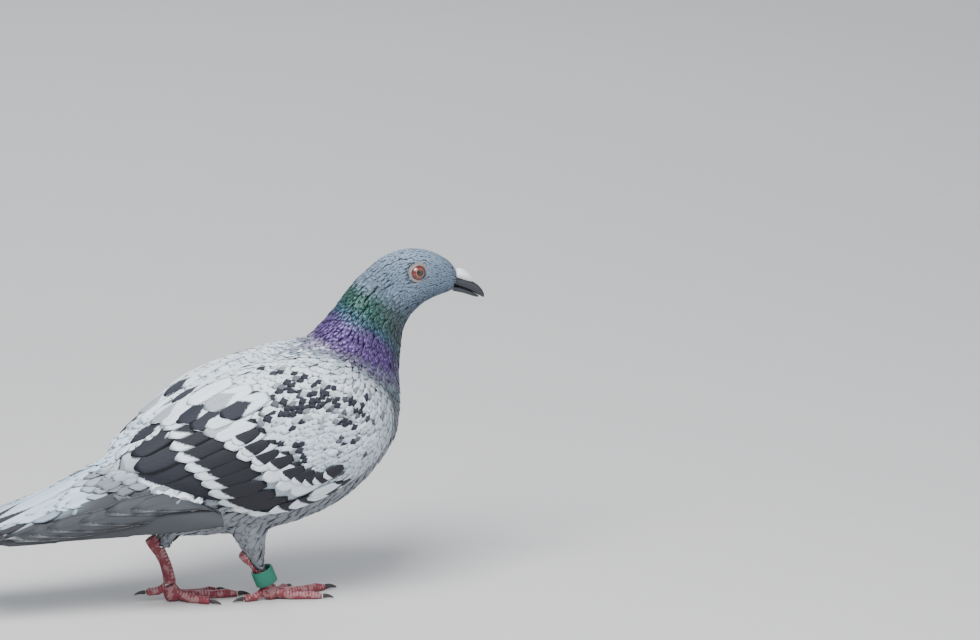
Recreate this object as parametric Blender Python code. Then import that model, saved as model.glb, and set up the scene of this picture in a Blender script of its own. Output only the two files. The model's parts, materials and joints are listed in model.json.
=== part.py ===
"""A walking feral pigeon, life size, as a still museum model.

Each part of the body that has a name is one closed solid. Metres, +Z up, +X the way the bird
faces, the origin on the floor under the middle of its length. The tables hold millimetres.
"""

import math

import bmesh
import bpy
import numpy as np
from mathutils import Vector
from mathutils.bvhtree import BVHTree

MM = 0.001
GAP = 0.35          # clear space between two solids that meet
FLOOR = 0.0         # the level that the soles stand on

# The trunk line, from the bill to the tip of the tail: the point on the back and the point on the
# belly that each section runs between, half its width, how full its outline is (2 is an ellipse),
# and how far its widest place sits towards the back (1) or the belly (-1).
#            back x, z       belly x, z     half  full  high
BODY_LINE = {
    "bill_base": (131.6, 175.2, 128.4, 164.6, 5.0, 2.1, 0.10),
    "lores": (125.2, 182.6, 122.2, 163.2, 8.6, 2.2, 0.10),
    "eyes": (113.0, 188.6, 114.4, 160.6, 11.4, 2.2, 0.12),
    "crown": (99.0, 189.2, 108.4, 156.8, 12.6, 2.1, 0.05),
    "nape": (84.0, 183.2, 104.2, 151.6, 12.9, 2.0, 0.00),
    "upper_neck": (71.5, 171.6, 100.6, 145.0, 14.4, 2.0, 0.00),
    "mid_neck": (60.5, 157.4, 98.6, 135.4, 18.0, 2.0, 0.00),
    "low_neck": (49.0, 146.0, 97.8, 122.6, 23.6, 2.0, 0.05),
    "shoulder": (34.0, 137.4, 97.6, 106.0, 31.5, 2.1, 0.10),
    "breast": (16.0, 133.0, 93.0, 83.0, 37.5, 2.2, 0.10),
    "ribs": (-4.0, 128.0, 68.0, 55.6, 39.5, 2.2, 0.15),
    "belly": (-24.0, 118.0, 32.0, 41.0, 38.0, 2.2, 0.20),
    "loin": (-43.0, 104.0, -4.0, 37.6, 32.5, 2.1, 0.20),
    "rump": (-58.0, 92.6, -36.0, 39.4, 26.5, 2.0, 0.15),
    "tail_base": (-74.0, 81.4, -64.0, 44.6, 21.5, 2.0, 0.10),
    "tail_coverts": (-92.0, 71.4, -87.0, 50.8, 21.0, 2.2, 0.20),
    "tail_middle": (-112.0, 62.2, -110.6, 53.0, 22.5, 2.4, 0.30),
    "tail_band": (-134.0, 52.8, -133.8, 48.0, 25.0, 2.6, 0.30),
    "tail_tip": (-149.0, 46.6, -149.0, 44.2, 26.5, 2.8, 0.00),
    "tail_end": (-154.0, 44.6, -154.0, 42.8, 19.5, 2.8, 0.00),
}
BODY_SIDES = 26
# Each named part of the body runs between two of these sections, with this many sections in it.
BODY_PARTS = {
    "head": ("bill_base", "nape", 11),
    "neck": ("nape", "low_neck", 8),
    "trunk": ("low_neck", "tail_base", 17),
    "tail": ("tail_base", "tail_end", 11),
}

# The folded wing, a shell over the trunk. At each place along the bird: the height of the point
# that its angles are taken round, its upper and lower edge as angles from straight up, and how
# thick it is in the middle.
#        x      centre upper  lower  thick
WING_LINE = (
    (88.0, 103.0, 84.0, 100.0, 1.2),
    (85.5, 102.5, 68.0, 116.0, 2.6),
    (77.0, 101.0, 52.0, 130.0, 4.8),
    (61.0, 98.0, 36.0, 135.0, 6.2),
    (40.0, 95.0, 20.0, 138.0, 6.6),
    (12.0, 89.0, 9.0, 136.0, 6.4),
    (-16.0, 84.0, 6.5, 120.0, 6.0),
    (-38.0, 79.0, 6.5, 102.0, 5.2),
    (-54.0, 76.0, 9.0, 84.0, 4.0),
    (-64.0, 74.0, 22.0, 68.0, 2.4),
)
WING_RINGS = 19
WING_STEPS = 9     # across one face of the shell
WING_EDGE = 0.9     # thickness left at the shell's rim
WING_GAP = 1.5      # clear space that its flat faces need over the rounder trunk

# The folded flight feathers behind it: lower and upper edge, the side they keep to, thickness.
#          x     low   high  side  thick
QUILL_LINE = (
    (-12.0, 51.0, 58.5, 41.0, 1.6),
    (-34.0, 48.4, 66.5, 38.6, 2.6),
    (-58.0, 46.8, 74.6, 33.0, 3.2),
    (-84.0, 45.8, 68.4, 30.0, 3.0),
    (-108.0, 45.4, 61.0, 28.6, 2.6),
    (-128.0, 45.2, 54.0, 27.6, 2.0),
    (-141.0, 46.6, 49.2, 26.6, 1.2),
)
QUILL_GAP = 1.8     # clear space between their flat faces and the tail
QUILL_RINGS = 13
QUILL_STEPS = 6

EYE_PLACE = (105.6, 9.0, 178.4)
EYE_RADIUS = 4.8
SOCKET_RADIUS = EYE_RADIUS + GAP

# Bill, from its base to its tip: x, bottom, top, half width.
BILL_UPPER = (
    (129.2, 168.0, 172.2, 3.7),
    (133.0, 166.4, 171.4, 3.2),
    (137.0, 164.7, 169.9, 2.7),
    (141.0, 162.6, 167.9, 2.25),
    (144.4, 160.6, 165.0, 1.7),
    (146.4, 159.4, 161.6, 0.7),
)
BILL_LOWER = (
    (128.8, 164.4, 167.6, 3.6),
    (133.0, 163.4, 165.9, 3.0),
    (137.0, 162.0, 164.2, 2.4),
    (140.6, 160.6, 162.1, 1.7),
    (143.2, 159.9, 160.5, 0.9),
)
CERE = (
    (130.6, 172.6, 174.4, 3.4),
    (132.6, 171.9, 175.6, 3.7),
    (135.0, 170.9, 174.8, 3.4),
    (137.4, 170.1, 172.8, 2.6),
    (139.4, 169.3, 170.6, 1.3),
)

# Legs. The left one trails and the right one leads. Places are x, outward, z. The rows of feathers
# run down the thigh with a half width and a half depth each. A toe turns by so many degrees from
# straight ahead, towards the bird's left, and the shank's bow is how far it bends forward.
LEGS = {
    "right": {
        "side": -1,
        "hock": (6.0, 11.0, 28.6),
        "bow": 2.0,
        "foot": (20.9, 7.0, 6.2),
        "feathers": (
            (1.0, 17.0, 64.0, 11.5, 15.0),
            (7.0, 15.0, 47.6, 9.6, 11.6),
            (10.6, 13.2, 36.2, 7.4, 8.6),
            (13.2, 11.6, 27.9, 5.4, 5.4),
            (15.4, 10.4, 21.8, 4.2, 3.8),
            (17.0, 9.6, 17.9, 3.2, 2.6),
        ),
        "toes": {"inner": 47.0, "middle": 16.5, "outer": -14.0, "hind": 186.0},
        "hind_lift": 0.0,
    },
    "left": {
        "side": 1,
        "hock": (-41.0, 9.0, 35.6),
        "bow": 2.6,
        "foot": (-30.3, 6.0, 6.2),
        "feathers": (
            (-12.0, 15.4, 64.0, 11.5, 15.0),
            (-20.4, 13.4, 50.3, 9.6, 11.6),
            (-28.0, 11.4, 41.2, 7.2, 8.4),
            (-32.6, 9.8, 34.5, 5.0, 5.4),
            (-33.8, 8.6, 29.5, 3.8, 4.0),
        ),
        "toes": {"inner": -37.0, "middle": -3.0, "outer": 17.0, "hind": 178.0},
        "hind_lift": 4.0,
    },
}
SHANK_RADIUS = 3.0
TOE_ROOT = 3.4                  # how far from the middle of the foot a toe starts
TOE_LENGTH = {"inner": 22.8, "middle": 37.0, "outer": 29.6, "hind": 13.6}
TOE_RADIUS = {"inner": 2.1, "middle": 2.35, "outer": 2.1, "hind": 2.0}
CLAW_LENGTH = {"inner": 6.2, "middle": 7.2, "outer": 6.0, "hind": 6.4}
LEG_RING = {"inner": 5.2, "outer": 6.2, "length": 8.6, "place": (18.6, 8.6, 13.9), "lean": 22.0}

BLUE_GREY = (0.30, 0.36, 0.42)
PALE_GREY = (0.72, 0.77, 0.80)
COLOURS = {
    "head": (0.22, 0.30, 0.36),
    "neck": (0.13, 0.16, 0.20),
    "trunk": (0.34, 0.37, 0.39),
    "tail": (0.44, 0.54, 0.62),
    "wing": PALE_GREY,
    "quill": (0.11, 0.12, 0.13),
    "thigh": BLUE_GREY,
    "skin": (0.42, 0.10, 0.11),
    "claw": (0.03, 0.03, 0.035),
    "bill": (0.03, 0.03, 0.04),
    "cere": (0.80, 0.79, 0.78),
    "eye": (0.30, 0.05, 0.03),
    "ring": (0.01, 0.28, 0.17),
}


def clear_scene():
    for item in list(bpy.data.objects):
        bpy.data.objects.remove(item)


def new_collection(name):
    made = bpy.data.collections.new(name)
    bpy.context.scene.collection.children.link(made)
    return made


def finish_material(name, roughness=0.6, metallic=0.0):
    """A Principled material in the part's colour, made once for each name."""
    found = bpy.data.materials.get(name)
    if found:
        return found
    made = bpy.data.materials.new(name)
    made.use_nodes = True
    shader = made.node_tree.nodes["Principled BSDF"]
    shader.inputs["Base Color"].default_value = (*COLOURS[name], 1.0)
    shader.inputs["Roughness"].default_value = roughness
    shader.inputs["Metallic"].default_value = metallic
    return made


def spline(rows, places):
    """Values between the rows of a table, on a smooth curve that passes through every row."""
    table = np.array(rows, float)
    padded = np.vstack([2 * table[0] - table[1], table, 2 * table[-1] - table[-2]])
    index = np.clip(np.floor(places).astype(int), 0, len(table) - 2)
    t = (np.asarray(places) - index)[:, None]
    a, b, c, d = (padded[index + k] for k in range(4))
    return 0.5 * (2 * b + (c - a) * t + (2 * a - 5 * b + 4 * c - d) * t**2 + (3 * b - a - 3 * c + d) * t**3)


def mesh_object(name, bm, collection, finish, roughness=0.6, smooth_angle=50.0):
    bmesh.ops.recalc_face_normals(bm, faces=bm.faces)
    mesh = bpy.data.meshes.new(name)
    bm.to_mesh(mesh)
    bm.free()
    mesh.shade_smooth()
    mesh.set_sharp_from_angle(angle=math.radians(smooth_angle))
    mesh.materials.append(finish_material(finish, roughness))
    made = bpy.data.objects.new(name, mesh)
    collection.objects.link(made)
    return made


def loft(rings):
    """A closed bmesh through rings of points in millimetres, each with the same number of points."""
    bm = bmesh.new()
    loops = [[bm.verts.new(Vector(p) * MM) for p in ring] for ring in rings]
    for one, two in zip(loops, loops[1:]):
        for i in range(len(one)):
            j = (i + 1) % len(one)
            bm.faces.new((one[i], one[j], two[j], two[i]))
    bm.faces.new(loops[0][::-1])
    bm.faces.new(loops[-1])
    return bm


def oval(angle, fullness):
    """(across, up) of a superellipse of half size 1, where angle 0 is straight up."""
    c, s = math.cos(angle), math.sin(angle)
    power = 2.0 / fullness
    return math.copysign(abs(s) ** power, s), math.copysign(abs(c) ** power, c)


def body_ring(row, sides=BODY_SIDES):
    back_x, back_z, belly_x, belly_z, half, full, high = row
    middle = np.array([(back_x + belly_x) / 2, 0.0, (back_z + belly_z) / 2])
    up = np.array([back_x, 0.0, back_z]) - middle
    ring = []
    for k in range(sides):
        across, rise = oval(2 * math.pi * k / sides, full)
        width = half * across * (1 + 0.35 * high * rise)
        ring.append(middle + up * rise + np.array([0.0, width, 0.0]))
    return ring


def body_solid(name, collection):
    first, last, count = BODY_PARTS[name]
    names = list(BODY_LINE)
    start, end = names.index(first), names.index(last)
    rows = spline(list(BODY_LINE.values()), np.linspace(start, end, count))
    rings = [body_ring(row) for row in rows]
    if name != "head":
        rings[0] = stepped_back(rings[0], rings[1])
    return mesh_object(name, loft(rings), collection, name)


def stepped_back(ring, towards):
    """The ring moved along the body by GAP, so that it clears the cap of the part before it."""
    ring, towards = np.array(ring), np.array(towards)
    normal = np.cross(ring[0] - ring.mean(axis=0), (0.0, 1.0, 0.0))
    normal /= np.linalg.norm(normal)
    way = np.sign(normal @ (towards.mean(axis=0) - ring.mean(axis=0)))
    return list(ring + way * GAP * normal)


def cut(target, cutter):
    """Takes the cutter's shape out of the target for good."""
    modifier = target.modifiers.new("cut", "BOOLEAN")
    modifier.operation = "DIFFERENCE"
    modifier.object = cutter
    graph = bpy.context.evaluated_depsgraph_get()
    carved = bpy.data.meshes.new_from_object(target.evaluated_get(graph))
    target.modifiers.clear()
    target.data = carved


def keep_largest(item):
    """Leaves only the biggest of the closed bodies that a cut made of an object."""
    bm = bmesh.new()
    bm.from_mesh(item.data)
    left, bodies = set(bm.verts), []
    while left:
        body, edge = set(), [left.pop()]
        while edge:
            vert = edge.pop()
            body.add(vert)
            near = {e.other_vert(vert) for e in vert.link_edges} & left
            left -= near
            edge.extend(near)
        bodies.append(body)
    biggest = max(bodies, key=len)
    bmesh.ops.delete(bm, geom=[v for v in bm.verts if v not in biggest], context="VERTS")
    bm.to_mesh(item.data)
    bm.free()


def helper_sphere(name, collection, place, radius):
    bm = bmesh.new()
    bmesh.ops.create_uvsphere(bm, u_segments=14, v_segments=8, radius=radius * MM)
    bmesh.ops.translate(bm, verts=bm.verts, vec=Vector(place) * MM)
    made = mesh_object(name, bm, collection, "eye")
    made.hide_render = True
    made.display_type = "WIRE"
    return made


def make_eyes(head, parts, cutters):
    for name, side in (("right", -1), ("left", 1)):
        place = (EYE_PLACE[0], side * EYE_PLACE[1], EYE_PLACE[2])
        cut(head, helper_sphere(f"socket_{name}", cutters, place, SOCKET_RADIUS))
        bm = bmesh.new()
        bmesh.ops.create_uvsphere(bm, u_segments=16, v_segments=8, radius=EYE_RADIUS * MM)
        bmesh.ops.rotate(bm, verts=bm.verts, matrix=Vector((0, 1, 0)).to_track_quat("Z", "Y").to_matrix())
        bmesh.ops.translate(bm, verts=bm.verts, vec=Vector(place) * MM)
        mesh_object(f"eye_{name}", bm, parts, "eye", roughness=0.1)


def bill_rings(table, sides=12, count=8):
    """Rings of an upper or lower bill, rounded above and flatter below."""
    rings = []
    for x, low, high, half in spline(table, np.linspace(0, len(table) - 1, count)):
        ring = []
        for k in range(sides):
            across, rise = oval(2 * math.pi * k / sides, 2.4)
            ring.append((x, half * across, (low + high) / 2 + rise * (high - low) / 2))
        rings.append(ring)
    return rings


def clear_of(target, table, collection, sides=12):
    """Cuts room for a bill piece, grown by GAP, out of the target."""
    grown = [(x, low - GAP, high + GAP, half + GAP) for x, low, high, half in table]
    grown[0] = (grown[0][0] - 3 * GAP, *grown[0][1:])
    cutter = mesh_object("room_" + target.name, loft(bill_rings(grown, sides)), collection, "bill")
    cutter.hide_render = True
    cutter.display_type = "WIRE"
    cut(target, cutter)


def make_bill(head, parts, cutters):
    lower = mesh_object("bill_lower", loft(bill_rings(BILL_LOWER)), parts, "bill", 0.35)
    upper = mesh_object("bill_upper", loft(bill_rings(BILL_UPPER)), parts, "bill", 0.35)
    mesh_object("cere", loft(bill_rings(CERE)), parts, "cere", 0.7)
    clear_of(upper, CERE, cutters)
    clear_of(lower, BILL_UPPER, cutters)
    for table in (BILL_UPPER, BILL_LOWER, CERE):
        clear_of(head, table, cutters)


def tree_of(*objects):
    bm = bmesh.new()
    for item in objects:
        bm.from_mesh(item.data)
    tree = BVHTree.FromBMesh(bm)
    bm.free()
    return tree


def wing_rings(tree, side):
    """Rings of the folded wing: out over its upper face and back along the face on the trunk."""
    reach = 90.0
    rings = []
    for x, centre, upper, lower, thick in spline(WING_LINE, np.linspace(0, len(WING_LINE) - 1, WING_RINGS)):
        outer, inner = [], []
        for k in range(WING_STEPS + 1):
            share = k / WING_STEPS
            angle = math.radians(upper + share * (lower - upper))
            out = Vector((0.0, side * math.sin(angle), math.cos(angle)))
            start = (Vector((x, 0.0, centre)) + out * reach) * MM
            hit = tree.ray_cast(start, -out)[0]
            base = hit / MM if hit else Vector((x, 0.0, centre))
            swell = math.sin(math.pi * share) ** 0.6
            inner.append(base + out * WING_GAP)
            outer.append(base + out * (WING_GAP + WING_EDGE + (thick - WING_EDGE) * swell))
        rings.append(outer + inner[::-1])
    return rings


def quill_rings(tree, side):
    """Rings of the folded flight feathers, a blade that stands beside the rump and the tail."""
    rings = []
    for x, low, high, keep, thick in spline(QUILL_LINE, np.linspace(0, len(QUILL_LINE) - 1, QUILL_RINGS)):
        outer, inner = [], []
        for k in range(QUILL_STEPS + 1):
            share = k / QUILL_STEPS
            z = low + share * (high - low)
            start = Vector((x, side * 90.0, z)) * MM
            hit = tree.ray_cast(start, Vector((0.0, -side, 0.0)))[0]
            near = abs(hit.y) / MM + QUILL_GAP if hit else 0.0
            lean = 5.0 * share**2
            inner_y = max(keep - lean - thick, near)
            swell = 0.35 + 0.65 * math.sin(math.pi * share)
            inner.append(Vector((x, side * inner_y, z)))
            outer.append(Vector((x, side * (inner_y + max(thick * swell, 0.6)), z)))
        rings.append(outer + inner[::-1])
    return rings


def tube_rings(points, sizes, sides, across):
    """Rings along a path. across is the direction of each ring's width; sizes are half width, half depth."""
    points = [Vector(p) for p in points]
    rings = []
    for i, (point, (wide, deep)) in enumerate(zip(points, sizes)):
        ahead = (points[min(i + 1, len(points) - 1)] - points[max(i - 1, 0)]).normalized()
        wide_way = (Vector(across) - ahead * ahead.dot(Vector(across))).normalized()
        deep_way = ahead.cross(wide_way)
        ring = []
        for k in range(sides):
            c, s = math.cos(2 * math.pi * k / sides), math.sin(2 * math.pi * k / sides)
            ring.append(point + wide_way * (c * wide) + deep_way * (s * deep))
        rings.append(ring)
    return rings


def joint(leg, name):
    x, out, z = leg[name]
    return Vector((x, leg["side"] * out, z))


def shank_way(leg):
    return (joint(leg, "foot") - joint(leg, "hock")).normalized()


def helper(item, collection):
    """Makes an object a cutter, which isn't part of the bird."""
    for owner in list(item.users_collection):
        owner.objects.unlink(item)
    collection.objects.link(item)
    item.hide_render = True
    item.display_type = "WIRE"
    return item


def grown_copy(item, collection):
    """A hidden copy of a solid, pushed out by GAP on every side, to cut room with."""
    bm = bmesh.new()
    bm.from_mesh(item.data)
    bm.normal_update()
    for vert, move in [(v, v.normal * (GAP * MM)) for v in bm.verts]:
        vert.co += move
    mesh = bpy.data.meshes.new("room_" + item.name)
    bm.to_mesh(mesh)
    bm.free()
    made = bpy.data.objects.new("room_" + item.name, mesh)
    collection.objects.link(made)
    return helper(made, collection)


def make_thigh(name, leg, parts):
    """The feathered thigh, from inside the flank to the front of the shank."""
    path = [(x, leg["side"] * out, z) for x, out, z, wide, deep in leg["feathers"]]
    sizes = [(wide, deep) for x, out, z, wide, deep in leg["feathers"]]
    return mesh_object(f"thigh_{name}", loft(tube_rings(path, sizes, 16, (0, 1, 0))), parts, "thigh")


def make_shank(name, leg, parts):
    """The bare shank, from the hock to the foot."""
    hock, foot = joint(leg, "hock"), joint(leg, "foot")
    ahead = Vector((0, leg["side"], 0)).cross(shank_way(leg)) * -leg["side"]
    shares = (0.0, 0.14, 0.32, 0.52, 0.72, 0.88)
    widths = (1.02, 1.12, 0.95, 0.90, 0.94, 1.05)
    path = [hock.lerp(foot, t) + ahead * (leg["bow"] * math.sin(math.pi * t)) for t in shares]
    sizes = [(SHANK_RADIUS * w * 0.92, SHANK_RADIUS * w * 1.12) for w in widths]
    return mesh_object(f"shank_{name}", loft(tube_rings(path, sizes, 12, (0, 1, 0))), parts, "skin")


def flattened(ring):
    """The ring with what lies under the floor brought up to it, which leaves a flat sole."""
    return [Vector((p[0], p[1], max(p[2], FLOOR))) for p in ring]


def toe_path(leg, toe):
    """Centre line of a toe from the ball of the foot: it comes down from the foot and ends low."""
    turn, length = leg["toes"][toe], TOE_LENGTH[toe]
    way = Vector((math.cos(math.radians(turn)), math.sin(math.radians(turn)), 0.0))
    ball = joint(leg, "foot")
    lift = leg["hind_lift"] if toe == "hind" else 0.0
    rows = []
    for share, rise in ((0.0, 4.4), (0.16, 2.9), (0.38, 2.0), (0.62, 1.8), (0.84, 1.75), (1.0, 1.25)):
        along = TOE_ROOT + (length - TOE_ROOT) * share
        rows.append(Vector((ball.x, ball.y, rise + lift)) + way * along)
    return rows, way


def make_toe(side_name, leg, toe, parts):
    path, way = toe_path(leg, toe)
    radius = TOE_RADIUS[toe]
    across = Vector((-way.y, way.x, 0.0))
    swell = (0.92, 1.0, 1.10, 0.98, 1.08, 0.66)
    sizes = [(radius * w, radius * w * 1.02) for w in swell]
    rings = [flattened(ring) for ring in tube_rings(path, sizes, 12, across)]
    made = mesh_object(f"toe_{toe}_{side_name}", loft(rings), parts, "skin")
    make_claw(side_name, toe, path[-1], way, across, radius, parts)
    return made


def make_claw(side_name, toe, root, way, across, radius, parts):
    length = CLAW_LENGTH[toe]
    start = root + way * (2 * GAP)
    path, sizes = [], []
    for share, width in ((0.0, 0.50), (0.3, 0.44), (0.6, 0.32), (0.85, 0.20), (1.0, 0.10)):
        droop = -0.34 * length * share**2 + 0.16 * length * share
        path.append(start + way * (length * share) + Vector((0, 0, droop + 0.4)))
        sizes.append((radius * width, radius * width * 1.3))
    rings = [flattened(ring) for ring in tube_rings(path, sizes, 8, across)]
    mesh_object(f"claw_{toe}_{side_name}", loft(rings), parts, "claw", roughness=0.3)


def make_ball(name, leg, parts):
    """The ball of the foot, which the toes grow from, with a flat pad under it."""
    ball = joint(leg, "foot")
    lean = shank_way(leg)
    path = [ball + lean * t for t in (-2.4, 0.0, 2.4, 4.6, 6.4)]
    sizes = [(3.0, 3.6), (3.9, 4.3), (4.3, 4.7), (3.9, 4.2), (2.6, 2.8)]
    bm = loft(tube_rings(path, sizes, 14, (0, 1, 0)))
    sole = bmesh.ops.bisect_plane(
        bm, geom=bm.verts[:] + bm.edges[:] + bm.faces[:], plane_co=(0, 0, FLOOR), plane_no=(0, 0, -1), clear_outer=True
    )
    rim = [part for part in sole["geom_cut"] if isinstance(part, bmesh.types.BMEdge)]
    bmesh.ops.holes_fill(bm, edges=rim)
    return mesh_object(f"foot_{name}", bm, parts, "skin")


def make_leg(name, leg, parts, cutters, trunk):
    """One leg. Where two of its pieces would share a place, the later one gives way."""
    thigh = make_thigh(name, leg, parts)
    thigh_room = grown_copy(thigh, cutters)
    cut(trunk, thigh_room)
    shank = make_shank(name, leg, parts)
    shank_room = grown_copy(shank, cutters)
    cut(shank, thigh_room)
    keep_largest(shank)
    toes = {toe: make_toe(name, leg, toe, parts) for toe in ("middle", "inner", "outer", "hind")}
    toe_rooms = {toe: grown_copy(made, cutters) for toe, made in toes.items()}
    for toe in ("inner", "outer"):
        cut(toes[toe], toe_rooms["middle"])
    ball = make_ball(name, leg, parts)
    for room in (shank_room, *toe_rooms.values()):
        cut(ball, room)


def make_leg_ring(leg, parts):
    """A loose band round the right shank, resting low on it: a turned tube."""
    ring = bpy.data.meshes.new("leg_ring")
    half, inner, outer = LEG_RING["length"] / 2, LEG_RING["inner"], LEG_RING["outer"]
    bm = bmesh.new()
    corners = [bm.verts.new(Vector((r, 0, z)) * MM) for r, z in ((outer, half), (outer, -half), (inner, -half), (inner, half))]
    edges = [bm.edges.new((corners[i], corners[(i + 1) % 4])) for i in range(4)]
    bmesh.ops.spin(
        bm, geom=corners + edges, axis=(0, 0, 1), cent=(0, 0, 0), angle=2 * math.pi, steps=24, use_merge=True
    )
    bmesh.ops.remove_doubles(bm, verts=bm.verts, dist=0.00001)
    bmesh.ops.recalc_face_normals(bm, faces=bm.faces)
    bm.to_mesh(ring)
    bm.free()
    ring.shade_smooth()
    ring.set_sharp_from_angle(angle=math.radians(40))
    ring.materials.append(finish_material("ring", 0.35))
    made = bpy.data.objects.new("leg_ring", ring)
    x, out, z = LEG_RING["place"]
    made.location = Vector((x, leg["side"] * out, z)) * MM
    made.rotation_euler = (0.0, -math.radians(LEG_RING["lean"]), 0.0)
    parts.objects.link(made)


def centre_length(parts):
    """Slides the whole bird along its length, so that the origin is under the middle of it."""
    ends = [(item.matrix_world @ vert.co).x for item in parts.objects for vert in item.data.vertices]
    middle = (max(ends) + min(ends)) / 2
    for item in parts.objects:
        item.location.x -= middle


def main():
    clear_scene()
    parts = new_collection("pigeon")
    cutters = new_collection("cutters")
    solids = {name: body_solid(name, parts) for name in BODY_PARTS}
    make_eyes(solids["head"], parts, cutters)
    make_bill(solids["head"], parts, cutters)
    skin_tree = tree_of(solids["trunk"], solids["tail"], solids["neck"])
    for name, side in (("right", -1), ("left", 1)):
        mesh_object(f"wing_{name}", loft(wing_rings(skin_tree, side)), parts, "wing")
        mesh_object(f"quills_{name}", loft(quill_rings(skin_tree, side)), parts, "quill")
    for name, leg in LEGS.items():
        make_leg(name, leg, parts, cutters, solids["trunk"])
    make_leg_ring(LEGS["right"], parts)
    bpy.context.view_layer.update()
    centre_length(parts)


main()
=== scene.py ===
"""Feral pigeon, standing: skin, feathers, head, legs and a plain stage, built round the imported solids."""

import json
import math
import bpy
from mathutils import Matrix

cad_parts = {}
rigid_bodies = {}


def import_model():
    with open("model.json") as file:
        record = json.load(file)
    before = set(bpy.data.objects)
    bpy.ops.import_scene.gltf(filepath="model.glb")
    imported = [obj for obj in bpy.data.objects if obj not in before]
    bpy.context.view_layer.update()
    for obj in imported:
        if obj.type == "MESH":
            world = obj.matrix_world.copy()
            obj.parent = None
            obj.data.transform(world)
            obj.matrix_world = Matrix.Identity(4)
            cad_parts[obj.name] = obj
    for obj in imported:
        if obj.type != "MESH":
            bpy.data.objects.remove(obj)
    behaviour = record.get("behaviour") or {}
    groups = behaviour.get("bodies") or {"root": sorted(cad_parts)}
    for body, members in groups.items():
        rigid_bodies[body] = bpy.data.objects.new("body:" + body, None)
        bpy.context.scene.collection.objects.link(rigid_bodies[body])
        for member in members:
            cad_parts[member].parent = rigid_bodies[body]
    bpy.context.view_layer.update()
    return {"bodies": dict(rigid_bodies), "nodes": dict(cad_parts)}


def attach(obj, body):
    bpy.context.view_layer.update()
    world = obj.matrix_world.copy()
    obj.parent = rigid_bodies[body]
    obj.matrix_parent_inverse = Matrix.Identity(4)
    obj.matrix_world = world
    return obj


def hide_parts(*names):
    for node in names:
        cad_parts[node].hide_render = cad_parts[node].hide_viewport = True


bl_info = {
    "name": "Feral Pigeon",
    "version": (1, 0, 0),
    "blender": (4, 5, 0),
    "location": "3D View > Sidebar > Pigeon",
    "description": "Builds a life-size standing pigeon with a skin, a coat of feathers and a stage",
    "category": "Add Mesh",
}

import bmesh
import bpy
import numpy as np
from bpy.props import FloatProperty, FloatVectorProperty, IntProperty, PointerProperty
from mathutils import Matrix, Vector, noise
from mathutils.bvhtree import BVHTree
from mathutils.kdtree import KDTree

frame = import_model()

MM = 0.001
BODY = sorted(frame["bodies"])[0]

# The groups of solids that the skin covers, in the order that every weight table uses.
GROUPS = {
    "head": ("head",),
    "neck": ("neck",),
    "trunk": ("trunk",),
    "wing": ("wing_right", "wing_left"),
    "thigh": ("thigh_right", "thigh_left"),
    "tail": ("tail",),
    "quills": ("quills_right", "quills_left"),
}
HEAD, NECK, TRUNK, WING, THIGH, TAIL, QUILLS = range(len(GROUPS))

# Skin, in millimetres.
CLOSE = 0.8
SKIN_VOXEL = 1.15
SKIN_THIN_SHARE = 0.42
BLEND = 1.6
COAT_DEPTH = (0.8, 1.7, 2.2, 1.3, 1.9, 1.0, 0.8)

# Coat by group: spacing of the roots, feather length and half width, all in millimetres.
SPACING = (1.15, 1.75, 3.3, 3.6, 2.9, 4.6, 8.0)
LENGTH = (4.4, 8.2, 13.0, 11.5, 10.5, 19.0, 20.0)
HALF_WIDTH = (0.85, 1.35, 3.0, 3.3, 2.0, 4.4, 4.0)
PIECE_TRIANGLES = 190000
BAKE_PATCH = 0.003

# The wing's own coordinates: x along the bird, and an angle from straight up round this axis.
AXIS_HEIGHT, AXIS_RISE = 87.0, 0.19

# How the feathers lie: place x, z and the way that their tips point, x, z and outward.
LIE = (
    ((129, 172), (-1.0, 0.25, 0.20)),
    ((122, 184), (-1.0, 0.55, 0.12)),
    ((118, 166), (-1.0, -0.20, 0.15)),
    ((108, 189), (-1.0, 0.02, 0.0)),
    ((106, 172), (-1.0, -0.35, 0.05)),
    ((112, 158), (-1.0, -0.55, 0.0)),
    ((96, 186), (-0.9, -0.45, 0.0)),
    ((92, 168), (-0.75, -0.75, 0.0)),
    ((104, 150), (-0.45, -1.0, 0.0)),
    ((80, 168), (-0.6, -0.85, 0.0)),
    ((84, 150), (-0.45, -0.9, 0.0)),
    ((66, 150), (-0.75, -0.75, 0.0)),
    ((100, 128), (-0.15, -1.0, 0.0)),
    ((78, 132), (-0.4, -0.95, 0.05)),
    ((52, 140), (-0.95, -0.35, 0.1)),
    ((102, 106), (-0.15, -1.0, 0.0)),
    ((92, 84), (-0.65, -0.8, 0.0)),
    ((20, 134), (-1.0, -0.15, 0.1)),
    ((-20, 118), (-1.0, -0.35, 0.1)),
    ((70, 56), (-1.0, -0.35, 0.0)),
    ((32, 42), (-1.0, -0.15, 0.0)),
    ((0, 38), (-1.0, 0.05, 0.0)),
    ((-40, 40), (-1.0, 0.1, 0.0)),
    ((-50, 95), (-1.0, -0.5, 0.0)),
    ((-80, 60), (-1.0, -0.2, 0.0)),
    ((-120, 55), (-1.0, -0.28, 0.0)),
    ((60, 100), (-0.97, -0.25, 0.0)),
    ((20, 90), (-0.96, -0.28, 0.0)),
    ((-20, 80), (-0.96, -0.28, 0.0)),
)
THIGH_LIE = (-0.25, -1.0, 0.0)

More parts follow.
